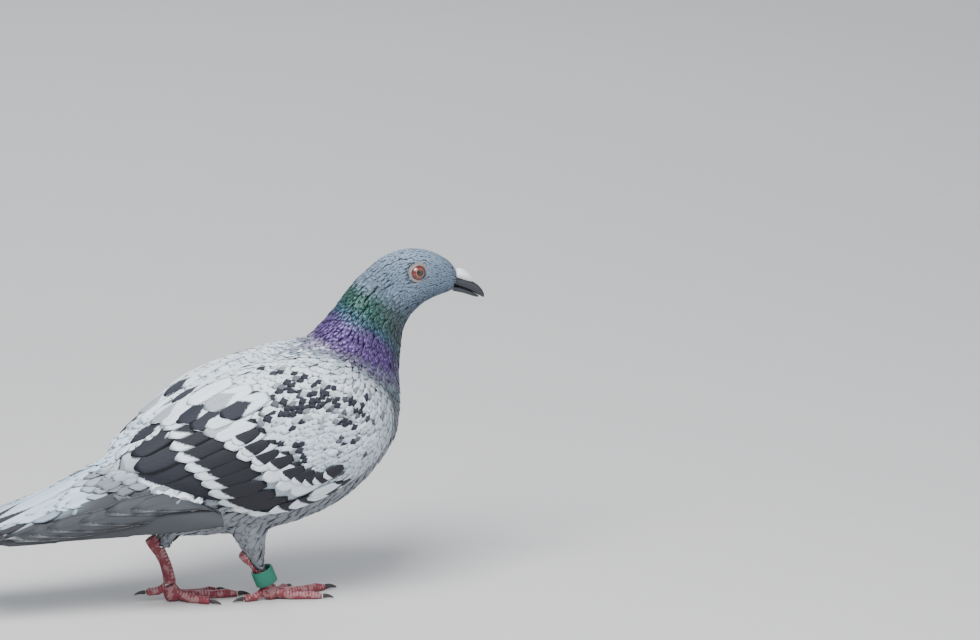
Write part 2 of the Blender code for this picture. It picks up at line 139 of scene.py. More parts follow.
# Dark blotches on the wing: x, angle and reach in millimetres.
BLOTCHES = (
    (-22, 18, 6), (-29, 22, 4), (-20, 39, 4), (-26, 42, 3), (-11, 51, 7), (1, 54, 4), (1, 45, 4),
    (5, 64, 4), (9, 54, 3), (17, 51, 4), (15, 63, 5), (9, 45, 3), (23, 60, 6), (28, 64, 4),
    (34, 60, 6), (21, 47, 4), (28, 46, 4), (31, 51, 3), (40, 60, 6), (45, 59, 5), (52, 64, 4),
    (10, 78, 3), (8, 72, 3), (30, 87, 3), (34, 92, 2), (32, 97, 3), (53, 99, 2), (55, 90, 2),
    (57, 94, 2), (54, 117, 3), (60, 81, 3), (63, 85, 2), (56, 77, 4), (47, 69, 2), (49, 83, 2),
    (70, 92, 2), (63, 95, 2), (71, 80, 2), (73, 85, 2), (75, 87, 2), (79, 85, 2), (72, 66, 2),
    (75, 70, 2), (70, 71, 2), (66, 74, 3), (63, 65, 2), (63, 68, 2), (60, 63, 2), (54, 67, 3),
    (57, 59, 2), (66, 61, 2), (67, 78, 2), (-15, -5, 3), (-3, -9, 3), (4, -9, 2), (9, -8, 2),
    (-30, -14, 3), (-4, 8, 2), (50, 55, 4), (44, 50, 3), (38, 44, 3), (32, 39, 3), (25, 32, 3),
    (18, 25, 3), (14, 9, 3), (34, 71, 2), (28, 74, 2), (22, 81, 2), (70, 112, 2), (45, 76, 2),
    (44, 64, 3),
)

# Rows of large wing feathers: tips as (x, angle), then how each row is shaped and marked.
SECONDARY_TIPS = ((-54.2, 29), (-55.3, 53), (-55.0, 73), (-54.0, 92), (-48.0, 101), (-41.3, 108),
                  (-36.4, 111))
GREATER_TIPS = ((-38.0, 42), (-36.7, 52), (-36.7, 63), (-34.8, 74), (-30.0, 84), (-25.3, 92),
                (-21.4, 100), (-17.1, 110), (-11.2, 123), (-2.9, 131), (6.6, 137), (17.5, 136),
                (28.6, 134), (38.7, 131))
MEDIAN_TIPS = ((-18.0, 56), (-14.3, 66), (-9.5, 74), (-3.3, 83), (4.4, 93), (10.8, 103),
               (18.7, 112), (27.4, 119), (39.8, 128))
BAR_TIPS = ((-5.5, 72), (-0.6, 81), (4.9, 89), (13.3, 95), (20.5, 105), (27.1, 110),
            (33.7, 114), (39.5, 115), (45.5, 113))
SCAPULAR_TIPS = ((-46.0, -12), (-44.0, 8), (-42.2, 24), (-38.4, 35), (-31.1, 42), (-25.5, 52),
                 (-19.5, 60), (-30.0, -4), (-29.0, 14), (-24.0, 30), (-17.0, 42), (-10.0, 52))
PRIMARY_TIPS = ((-59.6, 62.2), (-73.2, 60.9), (-88.2, 56.3), (-105.8, 53.5), (-117.0, 51.5),
                (-123.8, 49.3), (-129.6, 51.0))

# The line behind which the rows of large feathers take over: x at each angle.
ROW_EDGE = ((-38, -8, 8, 18, 30, 41, 47, 47), (40, 64, 72, 86, 95, 103, 115, 150))
EYE_CENTRE = (109.4, 9.0, 178.4)
EYE_RADIUS = 4.8
EYE_BARE = 5.2
# The loose feathers in front of and over the hocks: middle x, top and half reach.
VENT = (-38.0, 46.0, 14.0)
EYE_AXIS = (0.16, 0.98, 0.10)
BILL_BASE = 134.0
HORN_SWELL = {"bill": 0.30, "cere": 0.95}

# Tail feathers: tip of the middle pair, how far the outer tips draw in, and their places across.
TAIL_TIP, TAIL_CURVE = -149.6, 0.42 * 0.3
TAIL_MIDDLE, TAIL_STEP = 1.6, 4.1

# How far large feathers stay above the skin, beyond their own height on the hull.
OVER_SKIN = 0.9


class PlumageColours(bpy.types.PropertyGroup):
    """The plumage's base colours."""

    def tint(label, note, value):
        return FloatVectorProperty(name=label, description=note, default=value, size=3,
                                   subtype="COLOR", min=0, max=1)

    slate: tint("Slate", "Head and upper neck", (0.135, 0.185, 0.250))
    # The crown's paler tint is painted top light on the head's own slate.
    crown: tint("Crown", "Top of the head", (0.230, 0.310, 0.410))
    green: tint("Green", "Upper band of the neck", (0.020, 0.066, 0.054))
    teal: tint("Teal", "Between the green and purple bands", (0.022, 0.060, 0.085))
    purple: tint("Purple", "Lower band of the neck", (0.075, 0.045, 0.145))
    plum: tint("Plum", "Lowest edge of the purple band", (0.135, 0.065, 0.140))
    # The throat tint's darkness is partly painted shade on the front of the neck.
    throat: tint("Throat", "Front of the neck", (0.045, 0.055, 0.070))
    breast: tint("Breast", "Breast, belly and thighs", (0.215, 0.235, 0.265))
    # The mantle's near-white is partly painted top light on the wing and back.
    mantle: tint("Mantle", "Pale feathers of the wing and back", (0.700, 0.770, 0.830))
    shoulder: tint("Shoulder", "Blue-white of the lesser coverts", (0.560, 0.650, 0.720))
    bar: tint("Bar", "Dark bars of the wing", (0.010, 0.011, 0.017))
    blotch: tint("Blotch", "Dark blotches of the wing", (0.013, 0.016, 0.027))
    rump: tint("Rump", "Rump and top of the tail", (0.520, 0.640, 0.760))
    band: tint("Tail band", "Dark band at the end of the tail", (0.020, 0.021, 0.026))
    quill: tint("Quill", "Primaries", (0.050, 0.055, 0.064))


class BareColours(bpy.types.PropertyGroup):
    """The colours of skin, horn and eye."""

    def tint(label, note, value):
        return FloatVectorProperty(name=label, description=note, default=value, size=3,
                                   subtype="COLOR", min=0, max=1)

    leg: tint("Leg", "Scaled skin of the feet", (0.230, 0.034, 0.050))
    flake: tint("Flake", "Dry edges of the scales", (0.480, 0.290, 0.290))
    claw: tint("Claw", "Claws", (0.035, 0.030, 0.032))
    bill: tint("Bill", "Horn of the bill", (0.028, 0.030, 0.038))
    cere: tint("Cere", "Chalky swelling above the nostrils", (0.780, 0.790, 0.800))
    iris: tint("Iris", "Outer part of the iris", (0.110, 0.010, 0.009))
    iris_inner: tint("Inner iris", "Narrow ring next to the pupil", (0.420, 0.110, 0.030))
    lid: tint("Lid", "Bare skin round the eye", (0.230, 0.205, 0.200))
    ring: tint("Leg ring", "Blank plastic ring", (0.008, 0.150, 0.095))


class CoatSizes(bpy.types.PropertyGroup):
    """How full the coat is."""

    fullness: FloatProperty(name="Fullness", description="Share of the usual feather length",
                            default=1.0, min=0.5, max=1.3, subtype="FACTOR")
    seed: IntProperty(name="Seed", description="Starts the small random differences", default=41)
    thickness: FloatProperty(name="Vane thickness", description="Thickness of a body feather",
                             default=0.16 * MM, min=0, unit="LENGTH")


class StageSettings(bpy.types.PropertyGroup):
    """Floor, light and camera."""

    floor: FloatVectorProperty(name="Floor", description="Colour of the floor", size=3,
                               default=(0.62, 0.61, 0.60), subtype="COLOR", min=0, max=1)
    key: FloatProperty(name="Key light", description="Power of the main light in watts",
                       default=46.0, min=0)
    lens: FloatProperty(name="Lens", description="Focal length in millimetres",
                        default=537.8, min=1)
    distance: FloatProperty(name="Distance", description="From camera to bird",
                            default=8.0, min=0.1, unit="LENGTH")
    azimuth: FloatProperty(name="Azimuth", description="Angle of the camera round the bird",
                           default=math.radians(-17), subtype="ANGLE", unit="ROTATION")
    elevation: FloatProperty(name="Elevation", description="Angle above the horizon",
                             default=math.radians(14), subtype="ANGLE", unit="ROTATION")


# ---------------------------------------------------------------- shader maths


class Sock:
    """A shader socket or number that adds Math nodes when it is reckoned with."""

    def __init__(self, finish, socket):
        self.finish, self.socket = finish, socket

    def maths(self, operation, first, second=None, clamp=False):
        values = {0: first} if second is None else {0: first, 1: second}
        return self.finish.node("ShaderNodeMath", {"operation": operation, "use_clamp": clamp},
                                values)

    def __add__(self, other):
        return self.maths("ADD", self, other)

    def __sub__(self, other):
        return self.maths("SUBTRACT", self, other)

    def __rsub__(self, other):
        return self.maths("SUBTRACT", other, self)

    def __mul__(self, other):
        return self.maths("MULTIPLY", self, other)

    def __truediv__(self, other):
        return self.maths("DIVIDE", self, other)

    __radd__, __rmul__ = __add__, __mul__

    def size(self):
        return self.maths("ABSOLUTE", self)

    def wave(self):
        return self.maths("SINE", self)

    def over(self, edge, soft):
        """0 below the edge and 1 above it, with a soft step."""
        return self.maths("DIVIDE", self - edge + soft / 2, soft, clamp=True)

    def most(self, other):
        return self.maths("MAXIMUM", self, other)


class Finish:
    """One procedural material."""

    def __init__(self, name):
        self.material = bpy.data.materials.new(name)
        self.material.use_nodes = True
        self.tree = self.material.node_tree
        self.shader = self.tree.nodes["Principled BSDF"]

    def node(self, kind, settings=None, values=None, out=0):
        made = self.tree.nodes.new(kind)
        for key, value in (settings or {}).items():
            if key == "stops":
                ramp = made.color_ramp
                while len(ramp.elements) < len(value):
                    ramp.elements.new(0.5)
                for element, (place, colour) in zip(ramp.elements, value):
                    element.position, element.color = place, (*colour, 1)
            else:
                setattr(made, key, value)
        for key, value in (values or {}).items():
            self.put(made.inputs[key], value)
        return Sock(self, made.outputs[out])

    def put(self, socket, value):
        if isinstance(value, Sock):
            self.tree.links.new(value.socket, socket)
        elif socket.type == "RGBA":
            socket.default_value = (*value, 1)
        else:
            socket.default_value = value

    def attribute(self, name, out="Color"):
        made = self.tree.nodes.new("ShaderNodeAttribute")
        made.attribute_name = name
        return Sock(self, made.outputs[out])

    def parts(self, vector):
        made = self.tree.nodes.new("ShaderNodeSeparateXYZ")
        self.put(made.inputs[0], vector)
        return [Sock(self, socket) for socket in made.outputs]

    def place(self):
        return self.node("ShaderNodeTexCoord", out="Object")

    def noise(self, scale, detail=3.0, place=None):
        values = {"Vector": place or self.place(), "Scale": scale, "Detail": detail}
        return self.node("ShaderNodeTexNoise", None, values)

    def mix(self, share, first, second, kind="MIX"):
        made = self.tree.nodes.new("ShaderNodeMix")
        made.data_type, made.blend_type = "RGBA", kind
        self.put(made.inputs[0], share)
        self.put(made.inputs[6], first)
        self.put(made.inputs[7], second)
        return Sock(self, made.outputs[2])

    def tone(self, colour, amount):
        """The colour times an amount."""
        return self.node("ShaderNodeVectorMath", {"operation": "SCALE"},
                         {0: colour, "Scale": amount})

    def bump(self, height, strength, distance):
        return self.node("ShaderNodeBump", None,
                         {"Height": height, "Strength": strength, "Distance": distance})

    def set(self, **values):
        for key, value in values.items():
            self.put(self.shader.inputs[key.replace("_", " ")], value)
        return self.material


def finish_plumage(name):
    """Feathers: base colour, a second colour on tip and edge (the real pale tips, edges and dark band of the
    large feathers, and a painted highlight on the neck feathers' tips and edges), dark blotch, shaft and
    barbs.
    """
    made = Finish(name)
    across, along, seed = made.parts(made.attribute("vane", "Vector"))
    tip, edge, blotch = made.parts(made.attribute("mark", "Vector"))
    sheen = made.attribute("sheen", "Fac")
    side = across.size()
    grain = made.noise(900.0, 2.0)
    cloud = made.noise(60.0, 3.0)
    at_tip = (along + across * 0.16 + grain * 0.10 - 0.05 + tip).over(1.0, 0.05) * tip.over(0.01, 0.01)
    at_edge = (side + edge + grain * 0.06).over(1.03, 0.06) * edge.over(0.01, 0.01)
    colour = made.mix(at_tip.most(at_edge), made.attribute("plumage"), made.attribute("trim"))
    spot = (1.0 - (side / 0.85)) + (1.0 - ((along - 0.78) / 0.30).size())
    spot = (spot + grain * 0.5 - 0.25).over(0.55, 0.25) * blotch
    colour = made.mix(spot, colour, made.attribute("blotch"))
    barbs = ((along * 46.0 + side * 17.0 + seed * 6.0).wave())
    shaft = 1.0 - side.over(0.07, 0.06)
    tone = 1.0 + (barbs * 0.05) + (grain - 0.5) * 0.16 + (cloud - 0.5) * 0.18 + (seed - 0.5) * 0.10
    tone = tone - shaft * 0.10 * along.over(0.02, 0.02)
    height = barbs * 0.25 + grain * 0.4 + shaft * 0.8
    return made.set(Base_Color=made.tone(colour, tone), Roughness=0.74 - sheen * 0.34,
                    Metallic=sheen * 0.45, Normal=made.bump(height, 0.35, 0.00012))


def finish_leg(name, colours):
    made = Finish(name)
    scute = made.attribute("scute", "Fac")
    rough = made.noise(700.0, 4.0)
    flake = (made.noise(260.0, 4.0) + scute * 0.22).over(0.66, 0.10)
    colour = made.mix(flake * 0.55, colours.leg, colours.flake)
    tone = 0.62 + scute * 0.45 + (rough - 0.5) * 0.4
    return made.set(Base_Color=made.tone(colour, tone), Roughness=0.62,
                    Normal=made.bump(rough + scute, 0.5, 0.0002))


def finish_plain(name, colour, roughness, grain_scale, tone_share, bump_depth):
    made = Finish(name)
    grain = made.noise(grain_scale, 4.0)
    tone = 1.0 + (grain - 0.5) * tone_share
    return made.set(Base_Color=made.tone(colour_socket(made, colour), tone),
                    Roughness=roughness, Normal=made.bump(grain, 0.4, bump_depth))


def colour_socket(made, colour):
    """A fixed colour as a link, so that a tone can scale it."""
    return made.mix(0.0, tuple(colour), tuple(colour))


def finish_eye(name, colours, centre, axis):
    """Pupil, a narrow bright ring, the iris and a dark rim, by distance from the eye's axis."""
    made = Finish(name)
    away = made.node("ShaderNodeVectorMath", {"operation": "SUBTRACT"},
                     {0: made.place(), 1: tuple(centre)})
    cross = made.node("ShaderNodeVectorMath", {"operation": "CROSS_PRODUCT"},
                      {0: away, 1: tuple(axis)})
    radius = made.node("ShaderNodeVectorMath", {"operation": "LENGTH"}, {0: cross}, out="Value")
    streak = made.noise(1500.0, 4.0)
    reach = radius * 1000.0 + (streak - 0.5) * 0.5
    colour = made.mix(reach.over(2.05, 0.25), (0.004, 0.003, 0.003), tuple(colours.iris_inner))
    colour = made.mix(reach.over(2.4, 0.4), colour, tuple(colours.iris))
    colour = made.mix(reach.over(4.1, 0.5), colour, (0.02, 0.006, 0.005))
    made.set(Base_Color=colour, Roughness=0.35, Coat_Weight=1.0)
    return made.set(Coat_Roughness=0.03)


# ---------------------------------------------------------------- meshes


def mesh_from(name, points, faces):
    """A mesh object from arrays in millimetres: many small joined things."""
    mesh = bpy.data.meshes.new(name)
    mesh.vertices.add(len(points))
    mesh.vertices.foreach_set("co", (points * MM).astype(np.float32).ravel())
    corners = faces.shape[1]
    mesh.loops.add(len(faces) * corners)
    mesh.loops.foreach_set("vertex_index", faces.astype(np.int32).ravel())
    mesh.polygons.add(len(faces))
    mesh.polygons.foreach_set("loop_start", np.arange(0, len(faces) * corners, corners, dtype=np.int32))
    mesh.update(calc_edges=True)
    mesh.validate()
    mesh.shade_smooth()
    made = bpy.data.objects.new(name, mesh)
    bpy.context.scene.collection.objects.link(made)
    return made


def merged(names):
    """A bmesh of copies of CAD nodes, each merged."""
    whole = bmesh.new()
    for name in names:
        part = bmesh.new()
        part.from_mesh(frame["nodes"][name].data)
        bmesh.ops.remove_doubles(part, verts=part.verts, dist=1e-6)
        copy = bpy.data.meshes.new("copy")
        part.to_mesh(copy)
        part.free()
        whole.from_mesh(copy)
        bpy.data.meshes.remove(copy)
    whole.normal_update()
    return whole


def object_of(shape, name, smooth=True):
    mesh = bpy.data.meshes.new(name)
    shape.to_mesh(mesh)
    shape.free()
    if smooth:
        mesh.shade_smooth()
    made = bpy.data.objects.new(name, mesh)
    bpy.context.scene.collection.objects.link(made)
    return made


def remeshed(shape, name, voxel, rounds):
    """The bmesh as one closed even surface: voxel remesh, the largest shell, smoothed."""
    made = object_of(shape, name)
    remesh = made.modifiers.new("Remesh", "REMESH")
    remesh.mode, remesh.voxel_size = "VOXEL", voxel * MM
    graph = bpy.context.evaluated_depsgraph_get()
    graph.update()
    even = bpy.data.meshes.new_from_object(made.evaluated_get(graph))
    made.modifiers.clear()
    old, made.data = made.data, even
    bpy.data.meshes.remove(old)
    even.name = name
    shape = bmesh.new()
    shape.from_mesh(even)
    keep_largest(shape)
    for _ in range(rounds):
        bmesh.ops.smooth_vert(shape, verts=shape.verts, factor=0.5, use_axis_x=True,
                              use_axis_y=True, use_axis_z=True)
    bmesh.ops.recalc_face_normals(shape, faces=shape.faces)
    shape.normal_update()
    shape.to_mesh(even)
    shape.free()
    even.shade_smooth()
    return made


def keep_largest(shape):
    """Drops every shell but the one with most faces."""
    shape.faces.ensure_lookup_table()
    seen, shells = set(), []
    for start in shape.faces:
        if start.index in seen:
            continue
        seen.add(start.index)
        shell, queue = [], [start]
        while queue:
            face = queue.pop()
            shell.append(face)
            for edge in face.edges:
                for other in edge.link_faces:
                    if other.index not in seen:
                        seen.add(other.index)
                        queue.append(other)
        shells.append(shell)
    shells.sort(key=len)
    for shell in shells[:-1]:
        bmesh.ops.delete(shape, geom=shell, context="FACES")


def points_of(mesh):
    found = np.empty(len(mesh.vertices) * 3, np.float32)
    mesh.vertices.foreach_get("co", found)
    return found.reshape(-1, 3).astype(float) / MM


def normals_of(mesh):
    found = np.empty(len(mesh.vertices) * 3, np.float32)
    mesh.vertex_normals.foreach_get("vector", found)
    return found.reshape(-1, 3).astype(float)


def triangles_of(mesh):
    mesh.calc_loop_triangles()
    found = np.empty(len(mesh.loop_triangles) * 3, np.int32)
    mesh.loop_triangles.foreach_get("vertices", found)
    return found.reshape(-1, 3)


def unit(vectors):
    length = np.linalg.norm(vectors, axis=-1, keepdims=True)
    return vectors / np.maximum(length, 1e-9)


def step(value, low, high):
    share = np.clip((value - low) / (high - low), 0, 1)
    return share * share * (3 - 2 * share)


class Surface:
    """A closed surface in millimetres that gives the nearest point, with a smooth normal."""

    def __init__(self, points, triangles, normals=None):
        self.points, self.triangles = points, triangles
        self.tree = BVHTree.FromPolygons(points.tolist(), triangles.tolist())
        if normals is None:
            corner = points[triangles]
            flat = np.cross(corner[:, 1] - corner[:, 0], corner[:, 2] - corner[:, 0])
            normals = np.zeros_like(points)
            for k in range(3):
                np.add.at(normals, triangles[:, k], flat)
            normals = unit(normals)
        self.normals = normals

    @classmethod
    def of_nodes(cls, names):
        shape = merged(names)
        mesh = bpy.data.meshes.new("surface")
        shape.to_mesh(mesh)
        shape.free()
        made = cls(points_of(mesh), triangles_of(mesh))
        bpy.data.meshes.remove(mesh)
        return made

    def distance(self, places):
        find = self.tree.find_nearest
        return np.array([find(place)[3] for place in places.tolist()])

    def nearest(self, places):
        find = self.tree.find_nearest
        hits = [find(place) for place in places.tolist()]
        found = np.array([tuple(hit[0]) for hit in hits])
        index = np.array([hit[2] for hit in hits])
        return found, self.smooth_normal(found, index), index

    def shares(self, places, index):
        """Barycentric shares of places on their triangles."""
        a, b, c = (self.points[self.triangles[index, k]] for k in range(3))
        flat = np.cross(b - a, c - a)
        whole = np.maximum((flat * flat).sum(1), 1e-12)
        first = (np.cross(c - b, places - b) * flat).sum(1) / whole
        second = (np.cross(a - c, places - c) * flat).sum(1) / whole
        return np.clip(np.stack([first, second, 1 - first - second], 1), 0, 1)

    def smooth_normal(self, places, index):
        shares = self.shares(places, index)
        corners = self.normals[self.triangles[index]]
        return unit((corners * shares[:, :, None]).sum(1))

    def cast(self, starts, ways):
        """Where each ray meets the surface, or the nearest point where it misses."""
        found = []
        for start, way in zip(starts.tolist(), ways.tolist()):
            hit = self.tree.ray_cast(start, way)[0]
            found.append(tuple(hit if hit is not None else self.tree.find_nearest(start)[0]))
        return np.array(found)


class Bird:
    """What the operators share: the hull of solids, the skin's surface and its unwrap."""

    hull = None
    skin = None
    groups = None
    weights = None
    unwrap = None


def group_weights(places):
    """How much each place belongs to each group of solids, blended over a few millimetres."""
    away = np.stack([surface.distance(places) for surface in Bird.groups], 1)
    near = away - away.min(1, keepdims=True)
    weight = np.exp(-((near / BLEND) ** 2))
    return weight / weight.sum(1, keepdims=True)


def wing_angle(places):
    """Angle from straight up round the wing's axis, in degrees, the same on both sides."""
    rise = places[:, 2] - (AXIS_HEIGHT + AXIS_RISE * places[:, 0])
    return np.degrees(np.arctan2(np.abs(places[:, 1]), rise))


def fine_noise(places, scale):
    """Smooth noise from -1 to 1 at each place."""
    return np.array([noise.noise(place) for place in (places * scale).tolist()])


def mixed(first, second, share):
    return first * (1 - share[:, None]) + second * share[:, None]


def blotch_amount(places):
    """How dark the wing's blotches are at each place."""
    angle = wing_angle(places)
    amount = np.zeros(len(places))
    for x, turn, reach in BLOTCHES:
        along = (places[:, 0] - x) / (reach * 1.10)
        around = (angle - turn) * 0.72 / (reach * 0.76)
        amount = np.maximum(amount, step(1.25 - np.sqrt(along**2 + around**2), 0.0, 0.5))
    return amount


def plumage(places, weights):
    """Base colour and sheen at each place: the same on skin and coat."""
    colours = bpy.context.scene.pigeon_plumage
    tint = {key: np.array(getattr(colours, key)) for key in PlumageColours.__annotations__}
    x, z = places[:, 0], places[:, 2]
    blur = fine_noise(places, 0.12)
    fleck = fine_noise(places, 0.45)
    # Painted light on the head: paler toward the crown as painted top light, and darkened to 0.72 of the
    # slate under the head as painted shade.
    head = mixed(tint["slate"][None], tint["crown"][None], step(z + 2 * blur, 174, 189))
    head = mixed(head, tint["slate"][None] * 0.72, step(164 + x * 0.02 - z, -4, 8))
    down = (x - 98) * -0.53 + (z - 167) * -0.85
    front = step(x + (z - 150) * 0.28, 84, 98)
    band = down + 2.2 * blur + 1.5 * fleck
    slant = band - front * 7
    neck = mixed(head, tint["green"][None], step(band, 2, 10))
    neck = mixed(neck, tint["teal"][None], step(slant, 15, 22))
    neck = mixed(neck, tint["purple"][None], step(slant, 21, 30) * (1 - 0.25 * front))
    neck = mixed(neck, tint["plum"][None], step(slant, 38, 48) * (1 - front) * 0.8)
    # The front of the neck is darkened to the throat tint: partly the neck's own dark front, partly painted
    # shade on the side that faces away from the light.
    neck = mixed(neck, tint["throat"][None], front * step(down, 4, 16) * 0.8)
    base = mixed(tint["teal"][None], tint["breast"][None], np.full(len(x), 0.45))
    neck = mixed(neck, base, step(slant + 3 * fleck, 47, 55))
    # The sheen mask sets gloss in the shader and also scales the painted highlight on the neck feathers.
    sheen = step(band, 1, 9) * (1 - step(slant, 50, 60)) * (1 - 0.6 * front)
    # Painted shade: the upper breast under the neck is darkened to 0.62 of the breast grey, and the lower
    # belly keeps the full grey as the lit part.
    breast = mixed(tint["breast"][None] * 0.62, tint["breast"][None], step(110 - z, 0, 26))
    back = mixed(tint["mantle"][None], tint["rump"][None], step(-28 - x, 0, 20))
    upper = step(wing_angle(places) * -1, -62, -44)
    streaky = step(fleck + step(x, 20, 58) * 0.9, 0.35, 0.75)
    back = mixed(back, tint["slate"][None], streaky * step(x, -10, 30) * 0.8)
    trunk = mixed(breast, back, upper)
    trunk = mixed(trunk, base, step(z + x * 0.9, 186, 200))
    # The wing is mantle-pale on top and takes the shoulder tint down its side: its own pale grey, with the
    # top's extra whiteness painted top light.
    wing = mixed(tint["mantle"][None], tint["shoulder"][None], step(wing_angle(places), 55, 85))
    tail = mixed(tint["rump"][None], tint["band"][None], step(-121 - x + 1.5 * fleck, 0, 3))
    under = step(-(z - (62 + (x + 92) * 0.36)), 0, 6)
    tail = mixed(tail, tint["breast"][None] * 0.8, under * (1 - step(-121 - x, 0, 3)))
    quills = np.repeat(tint["quill"][None], len(x), 0)
    thigh = np.repeat(tint["breast"][None] * 0.95, len(x), 0)
    by_group = np.stack([np.broadcast_to(g, (len(x), 3)) for g in
                         (head, neck, trunk, wing, thigh, tail, quills)], 1)
    colour = (by_group * weights[:, :, None]).sum(1)
    sheen = sheen * (weights[:, NECK] + weights[:, HEAD] * 0.7 + weights[:, TRUNK] * 0.3)
    return colour, sheen


def lie_at(places, normals, weights):
    """The way that the feathers' tips point at each place, along the surface."""
    spots = np.array([spot for spot, _ in LIE], float)
    ways = np.array([way for _, way in LIE], float)
    away = ((places[:, None, 0] - spots[None, :, 0]) ** 2
            + (places[:, None, 2] - spots[None, :, 1]) ** 2)
    share = 1 / (away + 12.0) ** 1.6
    share /= share.sum(1, keepdims=True)
    way = share @ ways
    out = np.sign(places[:, 1]) * way[:, 2]
    field = np.stack([way[:, 0], out, way[:, 1]], 1)
    leg = np.array([THIGH_LIE[0], 0, THIGH_LIE[1]])
    field = unit(mixed(unit(field), leg[None], weights[:, THIGH]))
    field -= normals * (field * normals).sum(1, keepdims=True)
    return unit(field)


def add_floats(mesh, name, values, kind):
    layer = mesh.attributes.new(name, kind, "POINT")
    key = {"FLOAT": "value", "FLOAT_VECTOR": "vector", "FLOAT_COLOR": "color"}[kind]
    if kind == "FLOAT_COLOR":
        values = np.concatenate([values, np.ones((len(values), 1))], 1)
    layer.data.foreach_set(key, np.ascontiguousarray(values, np.float32).ravel())


# ---------------------------------------------------------------- feathers


def vane_shape(rows, columns):
    """A thin closed lens from a grid: across -1..1, along 0..1, side 1, 0 or -1, and triangles."""
    shape = bmesh.new()
    bmesh.ops.create_grid(shape, x_segments=columns, y_segments=rows, size=1.0)
    shape.verts.index_update()
    rim = {v.index for v in shape.verts if v.is_boundary}
    upper = [(v.co.x, (v.co.y + 1) / 2, 0.0 if v.index in rim else 1.0) for v in shape.verts]
    lower, below = [], {}
    for v in shape.verts:
        if v.index in rim:
            below[v.index] = v.index
        else:
            below[v.index] = len(upper) + len(lower)
            lower.append((v.co.x, (v.co.y + 1) / 2, -1.0))
    faces = []
    for face in shape.faces:
        loop = [v.index for v in face.verts]
        turned = [below[v.index] for v in reversed(face.verts)]
        for ring in (loop, turned):
            for k in range(1, len(ring) - 1):
                faces.append((ring[0], ring[k], ring[k + 1]))
    shape.free()
    return np.array(upper + lower, float), np.array(faces, np.int32)


SMALL_VANE = vane_shape(3, 2)
BODY_VANE = vane_shape(4, 4)
LARGE_VANE = vane_shape(10, 6)


def width_share(along, long_feather):
    """Share of the full half width along a feather."""
    if long_feather:
        return np.interp(along, (0, 0.25, 0.6, 0.85, 0.95, 1.0), (0.45, 0.85, 1.0, 0.94, 0.78, 0.5))
    return np.interp(along, (0, 0.3, 0.65, 0.88, 1.0), (0.35, 0.8, 1.0, 0.86, 0.48))


class Flock:
    """Feathers collected for one coat piece."""

    def __init__(self, vane):
        self.vane = vane
        self.points, self.layers = [], {}

    def add(self, points, **layers):
        """points: feathers x vane points x 3, layers: each feathers x vane points x n."""
        self.points.append(points)
        for key, value in layers.items():
            self.layers.setdefault(key, []).append(value)

    def build(self, name, material, mirrored=False):
        points = np.concatenate(self.points)
        layers = {key: np.concatenate(value) for key, value in self.layers.items()}
        faces = self.vane[1]
        if mirrored:
            count = len(points)
            points = np.concatenate([points, points * (1, -1, 1)])
            layers = {key: np.concatenate([value, value]) for key, value in layers.items()}
            layers["uv"] = layers["uv"].copy()
            layers["uv"][count:] = mirrored(points[count:], layers["vane"][count:])
            faces_left = faces[:, ::-1]
        total, each = len(points), len(self.vane[0])
        most = max(1, PIECE_TRIANGLES // len(faces))
        made = []
        pieces = max(1, math.ceil(total / most))
        for part in range(pieces):
            chosen = np.arange(part * total // pieces, (part + 1) * total // pieces)
            base = (np.arange(len(chosen)) * each)[:, None, None]
            all_faces = faces[None] + base
            if mirrored:
                flipped = chosen >= count
                all_faces[flipped] = (faces_left[None] + base)[flipped]
            label = name if pieces == 1 else f"{name}_{part + 1}"
            piece = mesh_from(label, points[chosen].reshape(-1, 3), all_faces.reshape(-1, 3))
            mesh = piece.data
            for key, kind in (("plumage", "FLOAT_COLOR"), ("trim", "FLOAT_COLOR"),
                              ("blotch", "FLOAT_COLOR"), ("vane", "FLOAT_VECTOR"),
                              ("mark", "FLOAT_VECTOR"), ("sheen", "FLOAT")):
                value = layers[key][chosen]
                add_floats(mesh, key, value.reshape(len(chosen) * each, -1), kind)
            flat = layers["uv"][chosen].reshape(-1, 2)
            uv = mesh.uv_layers.new(name="OFBake")
            index = np.empty(len(mesh.loops), np.int32)
            mesh.loops.foreach_get("vertex_index", index)
            uv.data.foreach_set("uv", flat[index].astype(np.float32).ravel())
            mesh.materials.append(material)
            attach(piece, BODY)
            made.append(piece)
        return made


def bake_patches(roots, vane):
    """A small patch for each feather round its root's place on the skin's unwrap."""
    found, _, index = Bird.skin.nearest(roots)
    shares = Bird.skin.shares(found, index)
    centre = (Bird.unwrap[index] * shares[:, :, None]).sum(1)
    spread = np.stack([vane[:, :, 0] * 0.5, vane[:, :, 1] - 0.5], 2)
    return centre[:, None] + spread * BAKE_PATCH


def repeat(values, each):
    values = np.asarray(values, float)
    if values.ndim == 1:
        values = values[:, None]
    return np.repeat(values[:, None, :], each, 1)


